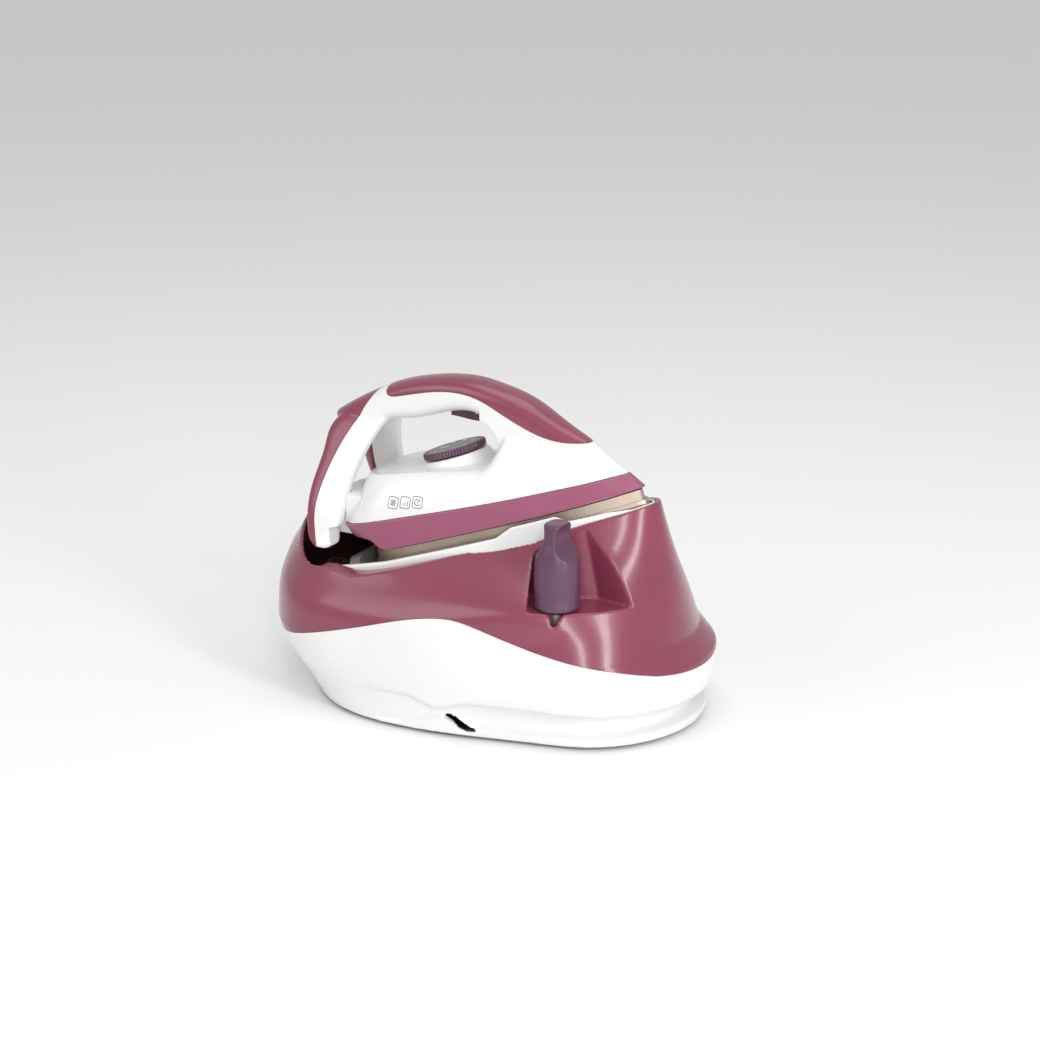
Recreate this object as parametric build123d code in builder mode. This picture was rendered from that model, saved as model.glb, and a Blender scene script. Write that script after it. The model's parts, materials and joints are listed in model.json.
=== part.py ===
"""Compact steam-generator iron: a boiler base with a screw filler cap, and an iron resting on it nose up.

Millimetres, +Z up, nose towards +X, near side towards -Y. The origin is on the floor, under the middle of
the base. The iron is drawn in its own tilted plane, IRON, whose Z is square to the soleplate.
"""

import os
from math import cos, radians, sin

from build123d import *

os.makedirs("parts", exist_ok=True)

# ---------------------------------------------------------------- driving dimensions
NOSE = 174.0            # front of the base's rim
HALF_WIDTH = 107.0      # widest half-width of the base
BOW_CENTRE = 74.0       # centre of the round bow, in plan
FOOT_HEIGHT = 3.0       # gap under the bottom edge of the base
WALL = 3.0              # moulded wall of the base
GAP = 0.3               # gap left between separate mouldings
REST_TILT = 18.0        # slope of the rest, nose up
REST_HEIGHT = 119.8     # height of the rest's surface above the origin
FRAME_DEPTH = 8.0       # how far the rest frame reaches below the rest's surface
LEDGE_HEIGHT = 100.5    # floor of the filler niche
CAP_X, CAP_Y = 87.0, -68.0  # filler neck and its cap
CAP_RADIUS = 16.6       # cap's skirt
CAP_TOP = 163.5
NECK_RADIUS = 10.0
BOILER_TOP = 84.0
BOILER_SEAM = 48.0
BOILER_BOTTOM = 16.0
BOILER_X, BOILER_Y, BOILER_RADIUS = 38.0, -16.0, 56.0
PLATE_THICK = 2.5
SOLE_BOTTOM = 2.4       # soleplate's face above the rest's surface
SOLE_TOP = 7.4
CASTING_TOP = 15.0
DIAL_RADIUS = 24.0
STEAM_TUBE_Z = 145.0    # tube from the gland into the iron's body
DIAL_U, DIAL_W = -12.0, 68.0  # dial's seat, in the iron's plane
TRIGGER_PIN_X, TRIGGER_PIN_Z = -9.0, 216.5
SWITCH_X, SWITCH_Z = -55.0, 44.0
MAINS_Z = 29.0          # mains lead's way in at the stern
SCREW_SPOTS = [(111, -67.5), (111, 67.5), (-86, -80.5), (-86, 80.5)]
FOOT_SPOTS = [(125, -50), (125, 50), (-95, -60), (-95, 60)]

IRON = Plane(
    origin=(0, 0, REST_HEIGHT),
    x_dir=(cos(radians(REST_TILT)), 0, sin(radians(REST_TILT))),
    z_dir=(-sin(radians(REST_TILT)), 0, cos(radians(REST_TILT))),
)


# ---------------------------------------------------------------- shared shapes
def smooth_face(plane, half, inset=0.0):
    """A closed smooth outline through a half outline, nose first and tail last, mirrored in Y."""
    length = max(abs(x) for x, _ in half)
    width = max(y for _, y in half)
    pts = [(x * (1 - inset / length), y * (1 - inset / width)) for x, y in half]
    mirrored = [(x, -y) for x, y in reversed(pts[1:-1])]
    with BuildSketch(plane) as face:
        with BuildLine():
            Spline(*pts, *mirrored, periodic=True)
        make_face()
    return face.sketch


def base_half(nose, width, tail):
    """Half outline of the base: a round bow, a full side and a rounded stern."""
    bow = nose - BOW_CENTRE
    arc = [(BOW_CENTRE + bow * cos(radians(a)), bow * sin(radians(a))) for a in (0, 30, 60, 88)]
    side = [(10, width), (-60, width - 2)]
    stern = [(tail + 52, width * 0.87), (tail + 20, width * 0.57), (tail, 0)]
    return arc + side + stern


def tilted(height, angle):
    """A plane through (0, 0, height), turned nose up by angle."""
    return Plane(
        origin=(0, 0, height),
        x_dir=(cos(radians(angle)), 0, sin(radians(angle))),
        z_dir=(-sin(radians(angle)), 0, cos(radians(angle))),
    )


def base_sections(inset):
    """The base from its bottom edge to above the rest: flange, waist, rim, brim, side and shoulder."""
    brim = [(158, 0), (149, 42), (120, 81), (74, 96), (10, 106.5), (-60, 104), (-121, 92), (-153, 60),
            (-173, 0)]
    side = [(154, 0), (144, 40), (118, 74), (74, 93), (10, 103), (-60, 100), (-120, 88), (-152, 57),
            (-171, 0)]
    ledge = [(150, 0), (141, 34), (115, 67), (74, 90), (10, 93), (-60, 87), (-118, 77), (-147, 51),
             (-166, 0)]
    shoulder = [(142, 0), (134, 24), (112, 43), (74, 58), (10, 65), (-58, 73), (-116, 71), (-143, 47),
                (-160, 0)]
    top = [(134, 0), (128, 9), (108, 15), (74, 22), (10, 15), (-50, 29), (-108, 53), (-135, 39), (-150, 0)]
    return [
        smooth_face(Plane.XY.offset(FOOT_HEIGHT), base_half(165, 104, -139), inset),
        smooth_face(Plane.XY.offset(15), base_half(160, 103, -147), inset),
        smooth_face(Plane.XY.offset(28), base_half(167, 105.5, -158), inset),
        smooth_face(Plane.XY.offset(43), base_half(NOSE, HALF_WIDTH, -168), inset),
        smooth_face(Plane.XY.offset(55), base_half(172, HALF_WIDTH, -173), inset),
    ], [
        smooth_face(Plane.XY.offset(55), base_half(172, HALF_WIDTH, -173), inset),
        smooth_face(Plane.XY.offset(66), brim, inset),
    ], [
        smooth_face(Plane.XY.offset(66), brim, inset),
        smooth_face(Plane.XY.offset(84), side, inset),
        smooth_face(Plane.XY.offset(LEDGE_HEIGHT), ledge, inset),
        smooth_face(tilted(122, 4), shoulder, inset),
        smooth_face(tilted(150, 7.5), top, inset),
    ]


def base_envelope(inset=0.0):
    """The base's outer form, or the space inside its wall."""
    lower, brim, upper = base_sections(inset)
    with BuildPart() as form:
        loft(sections=lower)
        loft(sections=brim, ruled=True)
        loft(sections=upper)
    return form.part


def border_wave():
    """Everything below the wavy border between the white and the burgundy mouldings."""
    with BuildSketch(Plane.XZ) as profile:
        with BuildLine():
            wave = Spline((200, 44), (172, 51), (149, 57), (100, 68.6), (60, 79), (23, 89), (-21, 83),
                          (-81, 64.5), (-130, 51), (-200, 40))
            Polyline(wave @ 1, (-200, -20), (200, -20), wave @ 0)
        make_face()
    with BuildPart() as below:
        extrude(profile.sketch, amount=150, both=True)
    return below.part


def block(x0, x1, y0, y1, z0, z1, plane=Plane.XY):
    """A box between two corners, in the given plane's own axes."""
    with BuildPart(plane) as box:
        with Locations(((x0 + x1) / 2, (y0 + y1) / 2, (z0 + z1) / 2)):
            Box(x1 - x0, y1 - y0, z1 - z0)
    return box.part


def disc(x, y, z0, z1, radius, plane=Plane.XY):
    """A round post along the given plane's own Z."""
    with BuildPart(plane) as post:
        with Locations((x, y, (z0 + z1) / 2)):
            Cylinder(radius, z1 - z0)
    return post.part


def prism(outline, low, high, plane=Plane.XY):
    """A straight-sided polygon, extruded from low to high along the plane's Z."""
    with BuildSketch(plane.offset(low)) as face:
        with BuildLine():
            Polyline(*outline, close=True)
        make_face()
    with BuildPart() as solid:
        extrude(face.sketch, amount=high - low)
    return solid.part


def smooth_prism(half, low, high, plane=IRON, inset=0.0):
    """A smooth mirrored outline, extruded from low to high along the plane's Z."""
    with BuildPart() as solid:
        extrude(smooth_face(plane.offset(low), half, inset), amount=high - low)
    return solid.part


# ---------------------------------------------------------------- base: shells
# Outer and inner outlines of the rest frame, in the iron's plane, clear of the soleplate all round.
FRAME_OUTER = [(139, 0), (134, 11), (116, 25), (90, 38.5), (52, 51), (0, 61), (-42, 66.5), (-80, 70),
               (-104, 66), (-122, 48), (-127, 0)]
FRAME_INNER = [(135.6, 0), (130.6, 9.5), (113.5, 22.8), (89.5, 35.2), (51.5, 47.4), (0, 56.8), (-42, 61.5),
               (-80, 64), (-104, 60), (-119, 43), (-123, 0)]
RIM_HEIGHT, NOSE_RIM_HEIGHT, GUARD_HEIGHT = 8.5, 4.0, 14.0
FRAME_REAR = -116.0
WELL_FRONT, WELL_REAR = -104.0, -132.0
WELL_SILL = 96.0
WELL_FLOOR = 70.0
REAR_WALL_TOP = 127.0

outer = base_envelope()
inner = base_envelope(WALL)
lining = base_envelope(WALL + GAP)
lining_space = base_envelope(2 * WALL + GAP)
below_border = border_wave()
rest_seat = smooth_prism(FRAME_OUTER, -FRAME_DEPTH - GAP, 150, inset=-GAP)
above_rest = block(-118, 220, -150, 150, -1, 160, IRON)
well_gap = block(WELL_REAR, WELL_FRONT, -150, 150, WELL_SILL, 300)
above_rear_wall = block(-250, -90, -150, 150, REAR_WALL_TOP, 300)

# The filler niche: an upright recess around the cap, open to the near side, with walls meeting behind it.
NICHE = [(95, -130), (73, -87), (54, -48), (57, -41), (84, -34.6), (150, -46.5), (150, -130)]
niche = prism(NICHE, LEDGE_HEIGHT, 200)
# a flared notch in the niche's edge, below the cap
NOTCH = [(84, 104), (88, 100), (91, 92), (94.5, 92), (96.5, 99), (100, 104)]
with BuildSketch(Plane.XZ.offset(70)) as notch_face:
    with BuildLine():
        Polyline(*NOTCH, close=True)
    make_face()
with BuildPart() as notch:
    extrude(notch_face.sketch, amount=40)

with BuildPart() as lower_shell:
    add(outer & below_border)
    add(inner, mode=Mode.SUBTRACT)
    # posts for the bottom screws, grown from the wall
    for x, y in SCREW_SPOTS:
        with Locations((x, y, 24)):
            Cylinder(7.5, 34)
    with Locations(*[(x, y, 16) for x, y in SCREW_SPOTS]):
        Cylinder(1.9, 24, mode=Mode.SUBTRACT)
    # opening for the power switch, the two lamps and the mains lead
    with Locations((SWITCH_X, 100, SWITCH_Z)):
        Box(22.8, 30, 14.8, mode=Mode.SUBTRACT)
    with Locations((-24, 100, SWITCH_Z), (-10, 100, SWITCH_Z)):
        Cylinder(4.1, 30, rotation=(90, 0, 0), mode=Mode.SUBTRACT)
    with Locations((-160, 30, MAINS_Z)):
        Cylinder(7.1, 60, rotation=(0, 90, 0), mode=Mode.SUBTRACT)
lower_shell.part.label = "lower_shell"
export_step(lower_shell.part, "parts/lower_shell.step")

with BuildPart() as upper_cut:
    add(outer - inner - below_border - above_rest - rest_seat)
    add(well_gap, mode=Mode.SUBTRACT)
    add(above_rear_wall, mode=Mode.SUBTRACT)
    add(niche, mode=Mode.SUBTRACT)
    add(notch.part, mode=Mode.SUBTRACT)
with BuildPart() as upper_shell:
    # the largest solid, without the chip that the niche cuts loose
    add(upper_cut.part.solids().sort_by(SortBy.VOLUME)[-1])
upper_shell.part.label = "upper_shell"
export_step(upper_shell.part, "parts/upper_shell.step")

with BuildPart() as bottom_plate:
    add(smooth_prism(base_half(165, 104, -139), FOOT_HEIGHT + 0.2, FOOT_HEIGHT + 0.2 + PLATE_THICK,
                     Plane.XY, inset=6))
    with Locations(*[(x, y, FOOT_HEIGHT) for x, y in SCREW_SPOTS]):
        Cylinder(2.1, 20, mode=Mode.SUBTRACT)
    # vents under the boiler
    with Locations((BOILER_X, BOILER_Y, FOOT_HEIGHT)):
        with GridLocations(12, 0, 7, 1):
            Box(4, 50, 20, mode=Mode.SUBTRACT)
bottom_plate.part.label = "bottom_plate"
export_step(bottom_plate.part, "parts/bottom_plate.step")

with BuildSketch(Plane.XY.offset(LEDGE_HEIGHT - PLATE_THICK)) as liner_plan:
    with BuildLine():
        Polyline(*NICHE, close=True)
    make_face()
    offset(amount=PLATE_THICK, kind=Kind.INTERSECTION)
with BuildPart() as liner_column:
    extrude(liner_plan.sketch, amount=60)
with BuildPart() as niche_liner:
    add(liner_column.part & lining)
    add(niche, mode=Mode.SUBTRACT)
    add(block(-200, 200, -150, 150, -FRAME_DEPTH - 2, 150, IRON), mode=Mode.SUBTRACT)
    add(notch.part, mode=Mode.SUBTRACT)
    add(disc(CAP_X, CAP_Y, 90, 110, NECK_RADIUS + GAP), mode=Mode.SUBTRACT)
niche_liner.part.label = "niche_liner"
export_step(niche_liner.part, "parts/niche_liner.step")

with BuildPart() as rear_well:
    add(lining & block(-200, WELL_FRONT, -150, 150, WELL_FLOOR, WELL_SILL + 20))
    with BuildPart(mode=Mode.PRIVATE) as tray_space:
        add(lining_space & block(-200, WELL_FRONT - PLATE_THICK, -150, 150, WELL_FLOOR + PLATE_THICK, 200))
    add(tray_space.part, mode=Mode.SUBTRACT)
    add(block(-200, -90, -150, 150, WELL_SILL - 4, 200), mode=Mode.SUBTRACT)
    add(rest_seat, mode=Mode.SUBTRACT)
    with Locations((-138, 0, WELL_FLOOR)):
        Cylinder(8.1, 20, mode=Mode.SUBTRACT)
rear_well.part.label = "rear_well"
export_step(rear_well.part, "parts/rear_well.step")

# ---------------------------------------------------------------- base: rest
with BuildPart() as rest_frame:
    add(smooth_prism(FRAME_OUTER, -FRAME_DEPTH, NOSE_RIM_HEIGHT))
    add(smooth_prism(FRAME_OUTER, NOSE_RIM_HEIGHT, RIM_HEIGHT) & block(-130, 96, -80, 80, 0, 20, IRON))
    # raised guards beside the soleplate, above the niche
    add(smooth_prism(FRAME_OUTER, RIM_HEIGHT, GUARD_HEIGHT) & block(48, 80, -80, 80, 0, 20, IRON))
    add(smooth_prism(FRAME_INNER, -20, 20), mode=Mode.SUBTRACT)
    add(block(-200, FRAME_REAR, -100, 100, -20, 20, IRON), mode=Mode.SUBTRACT)
    add(block(-124, FRAME_REAR + 8, -38, 38, -20, 20, IRON), mode=Mode.SUBTRACT)
rest_frame.part.label = "rest_frame"
export_step(rest_frame.part, "parts/rest_frame.step")

with BuildPart() as rest_deck:
    add(smooth_prism(FRAME_INNER, -6, -3, inset=GAP))
    add(block(-200, -100, -100, 100, -20, 20, IRON), mode=Mode.SUBTRACT)
rest_deck.part.label = "rest_deck"
export_step(rest_deck.part, "parts/rest_deck.step")

for name, (x0, x1, y0, y1) in {
    "rest_pad_front": (60, 100, -10, 10),
    "rest_pad_near": (-70, -20, -40, -28),
    "rest_pad_far": (-70, -20, 28, 40),
}.items():
    with BuildPart() as rest_pad:
        add(block(x0, x1, y0, y1, -3, 2, IRON))
        fillet(rest_pad.edges().filter_by(lambda e: abs(e.length - 5) < 0.01), radius=3)
    rest_pad.part.label = name
    export_step(rest_pad.part, f"parts/{name}.step")

with BuildPart() as heel_stop:
    add(block(-98, -89, -50, 50, -3, 13, IRON))
    fillet(heel_stop.edges().filter_by(lambda e: abs(e.length - 9) < 0.01).sort_by(Axis.Z)[-2:], radius=7)
heel_stop.part.label = "heel_stop"
export_step(heel_stop.part, "parts/heel_stop.step")

for number, (x, y) in enumerate(FOOT_SPOTS, start=1):
    with BuildPart() as foot:
        with Locations((x, y, (FOOT_HEIGHT + 0.2) / 2)):
            Cylinder(10, FOOT_HEIGHT + 0.2)
        chamfer(foot.edges().group_by(Axis.Z)[0], length=0.8)
    foot.part.label = f"foot_{number}"
    export_step(foot.part, f"parts/foot_{number}.step")

for number, (x, y) in enumerate(SCREW_SPOTS, start=1):
    with BuildPart() as screw:
        with Locations((x, y, 2)):
            Cylinder(3.6, 2)
        with Locations((x, y, 12)):
            Cylinder(1.6, 18)
        with Locations((x, y, 1.4)):
            Cylinder(1.2, 1.4, mode=Mode.SUBTRACT)
    screw.part.label = f"bottom_screw_{number}"
    export_step(screw.part, f"parts/bottom_screw_{number}.step")


# ---------------------------------------------------------------- base: boiler
def boiler_half(low, high, inset=0.0):
    """A pan whose plan is a drum with a lobe under the filler neck."""
    with BuildSketch(Plane.XY.offset(low)) as plan:
        with Locations((BOILER_X, BOILER_Y)):
            Circle(BOILER_RADIUS - inset)
        with Locations((CAP_X, CAP_Y + 1)):
            Circle(13 - inset)
        make_hull()
    with BuildPart() as pan:
        extrude(plan.sketch, amount=high - low)
    return pan.part


with BuildPart() as boiler_lower:
    add(boiler_half(BOILER_BOTTOM, BOILER_SEAM))
    add(boiler_half(BOILER_SEAM - 3, BOILER_SEAM, -3))
    fillet(boiler_lower.edges().group_by(Axis.Z)[0], radius=8)
    add(boiler_half(BOILER_BOTTOM + 2.5, BOILER_SEAM, 2.5), mode=Mode.SUBTRACT)
boiler_lower.part.label = "boiler_lower"
export_step(boiler_lower.part, "parts/boiler_lower.step")

with BuildPart() as boiler_upper:
    add(boiler_half(BOILER_SEAM, BOILER_TOP))
    add(boiler_half(BOILER_SEAM, BOILER_SEAM + 3, -3))
    fillet(boiler_upper.edges().group_by(Axis.Z)[-1], radius=8)
    add(boiler_half(BOILER_SEAM, BOILER_TOP - 2.5, 2.5), mode=Mode.SUBTRACT)
    with Locations((CAP_X, CAP_Y, BOILER_TOP)):
        Cylinder(NECK_RADIUS, 28)
    with Locations((CAP_X, CAP_Y, BOILER_TOP)):
        Cylinder(7.1, 40, mode=Mode.SUBTRACT)
boiler_upper.part.label = "boiler_upper"
export_step(boiler_upper.part, "parts/boiler_upper.step")

with BuildPart() as boiler_element:
    with BuildLine() as ring:
        CenterArc((BOILER_X, BOILER_Y, 11.6), 36, 20, 320)
    with BuildSketch(Plane(ring.line @ 0, z_dir=ring.line % 0)) as wire:
        Circle(4)
    sweep(sections=wire.sketch, path=ring.line)
boiler_element.part.label = "boiler_element"
export_step(boiler_element.part, "parts/boiler_element.step")

with BuildPart() as boiler_thermostat:
    with Locations((15, 12, BOILER_TOP + 4)):
        Cylinder(9, 8)
    with Locations((15, 12, BOILER_TOP + 10)):
        Box(16, 3, 4)
boiler_thermostat.part.label = "boiler_thermostat"
export_step(boiler_thermostat.part, "parts/boiler_thermostat.step")

with BuildPart() as thermal_fuse:
    with Locations((45, 20, BOILER_TOP + 3.2)):
        Cylinder(3.2, 26, rotation=(0, 90, 0))
thermal_fuse.part.label = "thermal_fuse"
export_step(thermal_fuse.part, "parts/thermal_fuse.step")

with BuildPart() as pressure_switch:
    with Locations((50, -8, BOILER_TOP + 3)):
        Cylinder(6, 6)
    with Locations((50, -8, BOILER_TOP + 13)):
        Cylinder(13, 14)
pressure_switch.part.label = "pressure_switch"
export_step(pressure_switch.part, "parts/pressure_switch.step")

with BuildPart() as valve_body:
    with Locations((12, -30, BOILER_TOP + 6)):
        Box(22, 20, 12)
    with Locations((-3, -30, BOILER_TOP + 6)):
        Cylinder(4.5, 12, rotation=(0, 90, 0))
valve_body.part.label = "valve_body"
export_step(valve_body.part, "parts/valve_body.step")

with BuildPart() as valve_coil:
    with Locations((12, -30, BOILER_TOP + 18)):
        Cylinder(9, 12)
    with Locations((12, -30, BOILER_TOP + 12.75), (12, -30, BOILER_TOP + 24.75)):
        Box(20, 20, 1.5)
valve_coil.part.label = "valve_coil"
export_step(valve_coil.part, "parts/valve_coil.step")

with BuildPart() as steam_pipe:
    with BuildLine() as route:
        FilletPolyline(
            (-9.2, -30, BOILER_TOP + 6), (-60, -30, BOILER_TOP + 6), (-80, -10, 62), (-138, 0, 45),
            (-138, 0, 61.8),
            radius=6,
        )
    with BuildSketch(Plane(route.line @ 0, z_dir=route.line % 0)) as bore:
        Circle(3.5)
        Circle(2.2, mode=Mode.SUBTRACT)
    sweep(sections=bore.sketch, path=route.line)
steam_pipe.part.label = "steam_pipe"
export_step(steam_pipe.part, "parts/steam_pipe.step")

with BuildPart() as hose_gland:
    with Locations((-138, 0, WELL_FLOOR + 0.5)):
        Cylinder(8, 17)
    with Locations((-138, 0, WELL_FLOOR + PLATE_THICK + 1.4)):
        Cylinder(11, 2.4)
    with Locations((-138, 0, WELL_FLOOR)):
        Cylinder(4.5, 40, mode=Mode.SUBTRACT)
hose_gland.part.label = "hose_gland"
export_step(hose_gland.part, "parts/hose_gland.step")

# ---------------------------------------------------------------- base: electrics
with BuildPart() as control_board:
    with Locations((-68, 40, 30)):
        Box(50, 60, 1.6)
    with Locations((-80, 55, 36.8)):
        Box(16, 18, 12)
    with Locations((-58, 28, 35.8), (-58, 40, 35.8)):
        Cylinder(5, 10)
control_board.part.label = "control_board"
export_step(control_board.part, "parts/control_board.step")

with BuildPart() as terminal_block:
    with Locations((-68, -30, 30)):
        Box(44, 16, 12)
    with Locations((-68, -30, 36)):
        with GridLocations(10, 0, 4, 1):
            Cylinder(3, 6, mode=Mode.SUBTRACT)
terminal_block.part.label = "terminal_block"
export_step(terminal_block.part, "parts/terminal_block.step")

with BuildPart() as mains_gland:
    with Locations((-149, 30, MAINS_Z)):
        Cylinder(7, 26, rotation=(0, 90, 0))
    with Locations((-138, 30, MAINS_Z)):
        Cylinder(9.5, 4, rotation=(0, 90, 0))
    with Locations((-149, 30, MAINS_Z)):
        Cylinder(4.2, 60, rotation=(0, 90, 0), mode=Mode.SUBTRACT)
mains_gland.part.label = "mains_gland"
export_step(mains_gland.part, "parts/mains_gland.step")

with BuildPart() as switch_housing:
    with Locations((SWITCH_X, 96.5, SWITCH_Z)):
        Box(21.8, 21, 13.8)
    with Locations((SWITCH_X, 106.9, SWITCH_Z)):
        Box(26, 1.4, 18)
    with Locations((SWITCH_X, 102, SWITCH_Z)):
        Box(18.6, 14, 10.6, mode=Mode.SUBTRACT)
switch_housing.part.label = "switch_housing"
export_step(switch_housing.part, "parts/switch_housing.step")

# The rocker turns on an upright pin; at rest its rear end stands out, which is off.
rocker_plane = Plane(
    origin=(SWITCH_X, 100, SWITCH_Z), x_dir=(cos(radians(8)), -sin(radians(8)), 0), z_dir=(0, 0, 1)
)
with BuildPart(rocker_plane) as power_rocker:
    Cylinder(3, 10)
    with Locations((0, 3, 0)):
        Box(16.8, 4, 10)
power_rocker.part.label = "power_rocker"
export_step(power_rocker.part, "parts/power_rocker.step")

for name, x in (("lamp_power", -24), ("lamp_ready", -10)):
    with BuildPart() as lamp:
        with Locations((x, 100, SWITCH_Z)):
            Cylinder(4, 12, rotation=(90, 0, 0))
        fillet(lamp.edges().sort_by(Axis.Y)[-1], radius=1.5)
    lamp.part.label = name
    export_step(lamp.part, f"parts/{name}.step")

# ---------------------------------------------------------------- filler cap
with BuildPart() as cap_seal:
    with Locations((CAP_X, CAP_Y, BOILER_TOP + 15.2)):
        Cylinder(9.6, 1.6)
        Cylinder(7.2, 4, mode=Mode.SUBTRACT)
cap_seal.part.label = "cap_seal"
export_step(cap_seal.part, "parts/cap_seal.step")

with BuildPart() as cap_plug:
    with Locations((CAP_X, CAP_Y, BOILER_TOP + 8)):
        Cylinder(6.7, 20)
    with Locations((CAP_X, CAP_Y, BOILER_TOP - 4)):
        Cylinder(2, 6)
    with Locations((CAP_X, CAP_Y, BOILER_TOP + 24)):
        Cylinder(10.5, 13)
cap_plug.part.label = "cap_plug"
export_step(cap_plug.part, "parts/cap_plug.step")

cap_bottom = LEDGE_HEIGHT + 0.7
grip_plane = Plane(
    origin=(CAP_X, CAP_Y, 154), x_dir=(cos(radians(10)), -sin(radians(10)), 0), z_dir=(0, 0, 1)
)
with BuildPart(grip_plane) as thumb_hollows:
    with Locations((-21.5, 0, 0), (21.5, 0, 0)):
        Cylinder(17, 60, rotation=(90, 0, 0))

with BuildPart() as filler_cap:
    with BuildSketch(Plane(origin=(CAP_X, CAP_Y, 0), x_dir=(1, 0, 0), z_dir=(0, -1, 0))):
        with BuildLine():
            Line((0, cap_bottom), (CAP_RADIUS, cap_bottom))
            Line((CAP_RADIUS, cap_bottom), (15.8, 134))
            ThreePointArc((15.8, 134), (14.2, 143), (11.0, 150.5))
            Line((11.0, 150.5), (10.2, CAP_TOP - 3))
            ThreePointArc((10.2, CAP_TOP - 3), (9.2, CAP_TOP - 0.8), (7, CAP_TOP))
            Line((7, CAP_TOP), (0, CAP_TOP))
            Line((0, CAP_TOP), (0, cap_bottom))
        make_face()
    revolve(axis=Axis((CAP_X, CAP_Y, 0), (0, 0, 1)))
    # two thumb hollows leave a blade across the top
    add(thumb_hollows.part, mode=Mode.SUBTRACT)
    with Locations((CAP_X, CAP_Y, cap_bottom + 7)):
        Cylinder(10.6, 14, mode=Mode.SUBTRACT)
filler_cap.part.label = "filler_cap"
export_step(filler_cap.part, "parts/filler_cap.step")

# ---------------------------------------------------------------- iron: sole and skirt
# Half outlines in the iron's plane, each from the nose to the tail.
SOLE_HALF = [(134, 0), (129, 8), (112, 21), (88, 33), (50, 45), (0, 54), (-42, 58), (-68, 54), (-82, 33),
             (-85, 0)]
SKIRT_LOW = [(134, 0), (128.5, 9), (111, 23), (88, 35), (50, 47), (0, 56.5), (-42, 60.5), (-72, 58),
             (-88, 36), (-92, 0)]
SKIRT_TOP = [(125, 0), (118, 8), (101, 21), (76, 32), (45, 43), (0, 52), (-50, 57), (-86, 54), (-99, 36),
             (-103, 0)]
BODY_LOW = [(124, 0), (117, 7), (100, 19.5), (75, 30.5), (45, 41.5), (0, 50.5), (-50, 55.5), (-84, 52),
            (-97, 35), (-101, 0)]
BODY_MID = [(102, 0), (97, 6), (88, 13), (66, 22), (40, 32), (0, 43), (-45, 49), (-74, 45), (-86, 30),
            (-90, 0)]
BODY_TOP = [(80, 0), (75, 4), (65, 8), (52, 14), (30, 20), (0, 31), (-40, 38), (-64, 34), (-74, 22), (-78, 0)]
BODY_SEAM = IRON * Pos(0, 0, 34.5) * Rot(0, 3, 0)
seam_plane = Plane(BODY_SEAM)
deck_plane = Plane(origin=(0, 0, 179), x_dir=(cos(radians(8)), 0, sin(radians(8))),
                   z_dir=(-sin(radians(8)), 0, cos(radians(8))))

with BuildPart() as soleplate:
    add(smooth_prism(SOLE_HALF, SOLE_BOTTOM, SOLE_TOP))
    fillet(soleplate.edges().group_by(Axis((0, 0, 0), IRON.z_dir))[0], radius=2)
    # steam holes in two staggered rows along each edge
    for u in range(-60, 100, 16):
        v = 40 - max(0, u) * 0.27
        with Locations(IRON * Location((u, v, 4)), IRON * Location((u, -v, 4)),
                       IRON * Location((u + 8, v * 0.72, 4)), IRON * Location((u + 8, -v * 0.72, 4))):
            Cylinder(1.5, 12, mode=Mode.SUBTRACT)
soleplate.part.label = "soleplate"
export_step(soleplate.part, "parts/soleplate.step")

with BuildPart() as sole_casting:
    add(smooth_prism(SOLE_HALF, SOLE_TOP, CASTING_TOP, inset=2.5))
sole_casting.part.label = "sole_casting"
export_step(sole_casting.part, "parts/sole_casting.step")

with BuildPart() as chamber_cover:
    add(block(-50, 60, -11, 11, CASTING_TOP, CASTING_TOP + 3, IRON))
chamber_cover.part.label = "chamber_cover"
export_step(chamber_cover.part, "parts/chamber_cover.step")

with BuildPart() as iron_element:
    with BuildLine(IRON.offset(CASTING_TOP + 4.2)) as loop:
        Line((-60, -20), (70, -16))
        ThreePointArc((70, -16), (86, 0), (70, 16))
        Line((70, 16), (-60, 20))
    with BuildSketch(Plane(loop.line @ 0, z_dir=loop.line % 0)) as wire:
        Circle(4)
    sweep(sections=wire.sketch, path=loop.line)
iron_element.part.label = "iron_element"
export_step(iron_element.part, "parts/iron_element.step")

with BuildPart() as iron_thermostat:
    add(block(-30, 6, -8, 8, CASTING_TOP + 3, CASTING_TOP + 12, IRON))
iron_thermostat.part.label = "iron_thermostat"
export_step(iron_thermostat.part, "parts/iron_thermostat.step")

with BuildPart() as heat_skirt:
    loft(sections=[smooth_face(IRON.offset(16), SKIRT_LOW), smooth_face(seam_plane, SKIRT_TOP)])
    loft(
        sections=[smooth_face(IRON.offset(15.9), SKIRT_LOW, 2.5),
                  smooth_face(seam_plane.offset(0.1), SKIRT_TOP, 2.5)],
        mode=Mode.SUBTRACT,
    )
    # the rear of the skirt is cut away upwards, over the tail of the soleplate
    add(prism([(-54, -90), (-54, 90), (-200, 90), (-200, -90)], -60, 0,
              Plane(IRON * Pos(-54, 0, 15.9) * Rot(0, 28, 0) * Pos(54, 0, 0))), mode=Mode.SUBTRACT)
heat_skirt.part.label = "heat_skirt"
export_step(heat_skirt.part, "parts/heat_skirt.step")

# ---------------------------------------------------------------- iron: body and handle
body_form = [
    smooth_face(seam_plane.offset(0.2), BODY_LOW),
    smooth_face(IRON.offset(54), BODY_MID),
    smooth_face(IRON.offset(74), BODY_TOP),
]
body_space = [
    smooth_face(seam_plane.offset(0.1), BODY_LOW, 2.5),
    smooth_face(IRON.offset(54), BODY_MID, 2.5),
    smooth_face(IRON.offset(74), BODY_TOP, 2.5),
]
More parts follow.
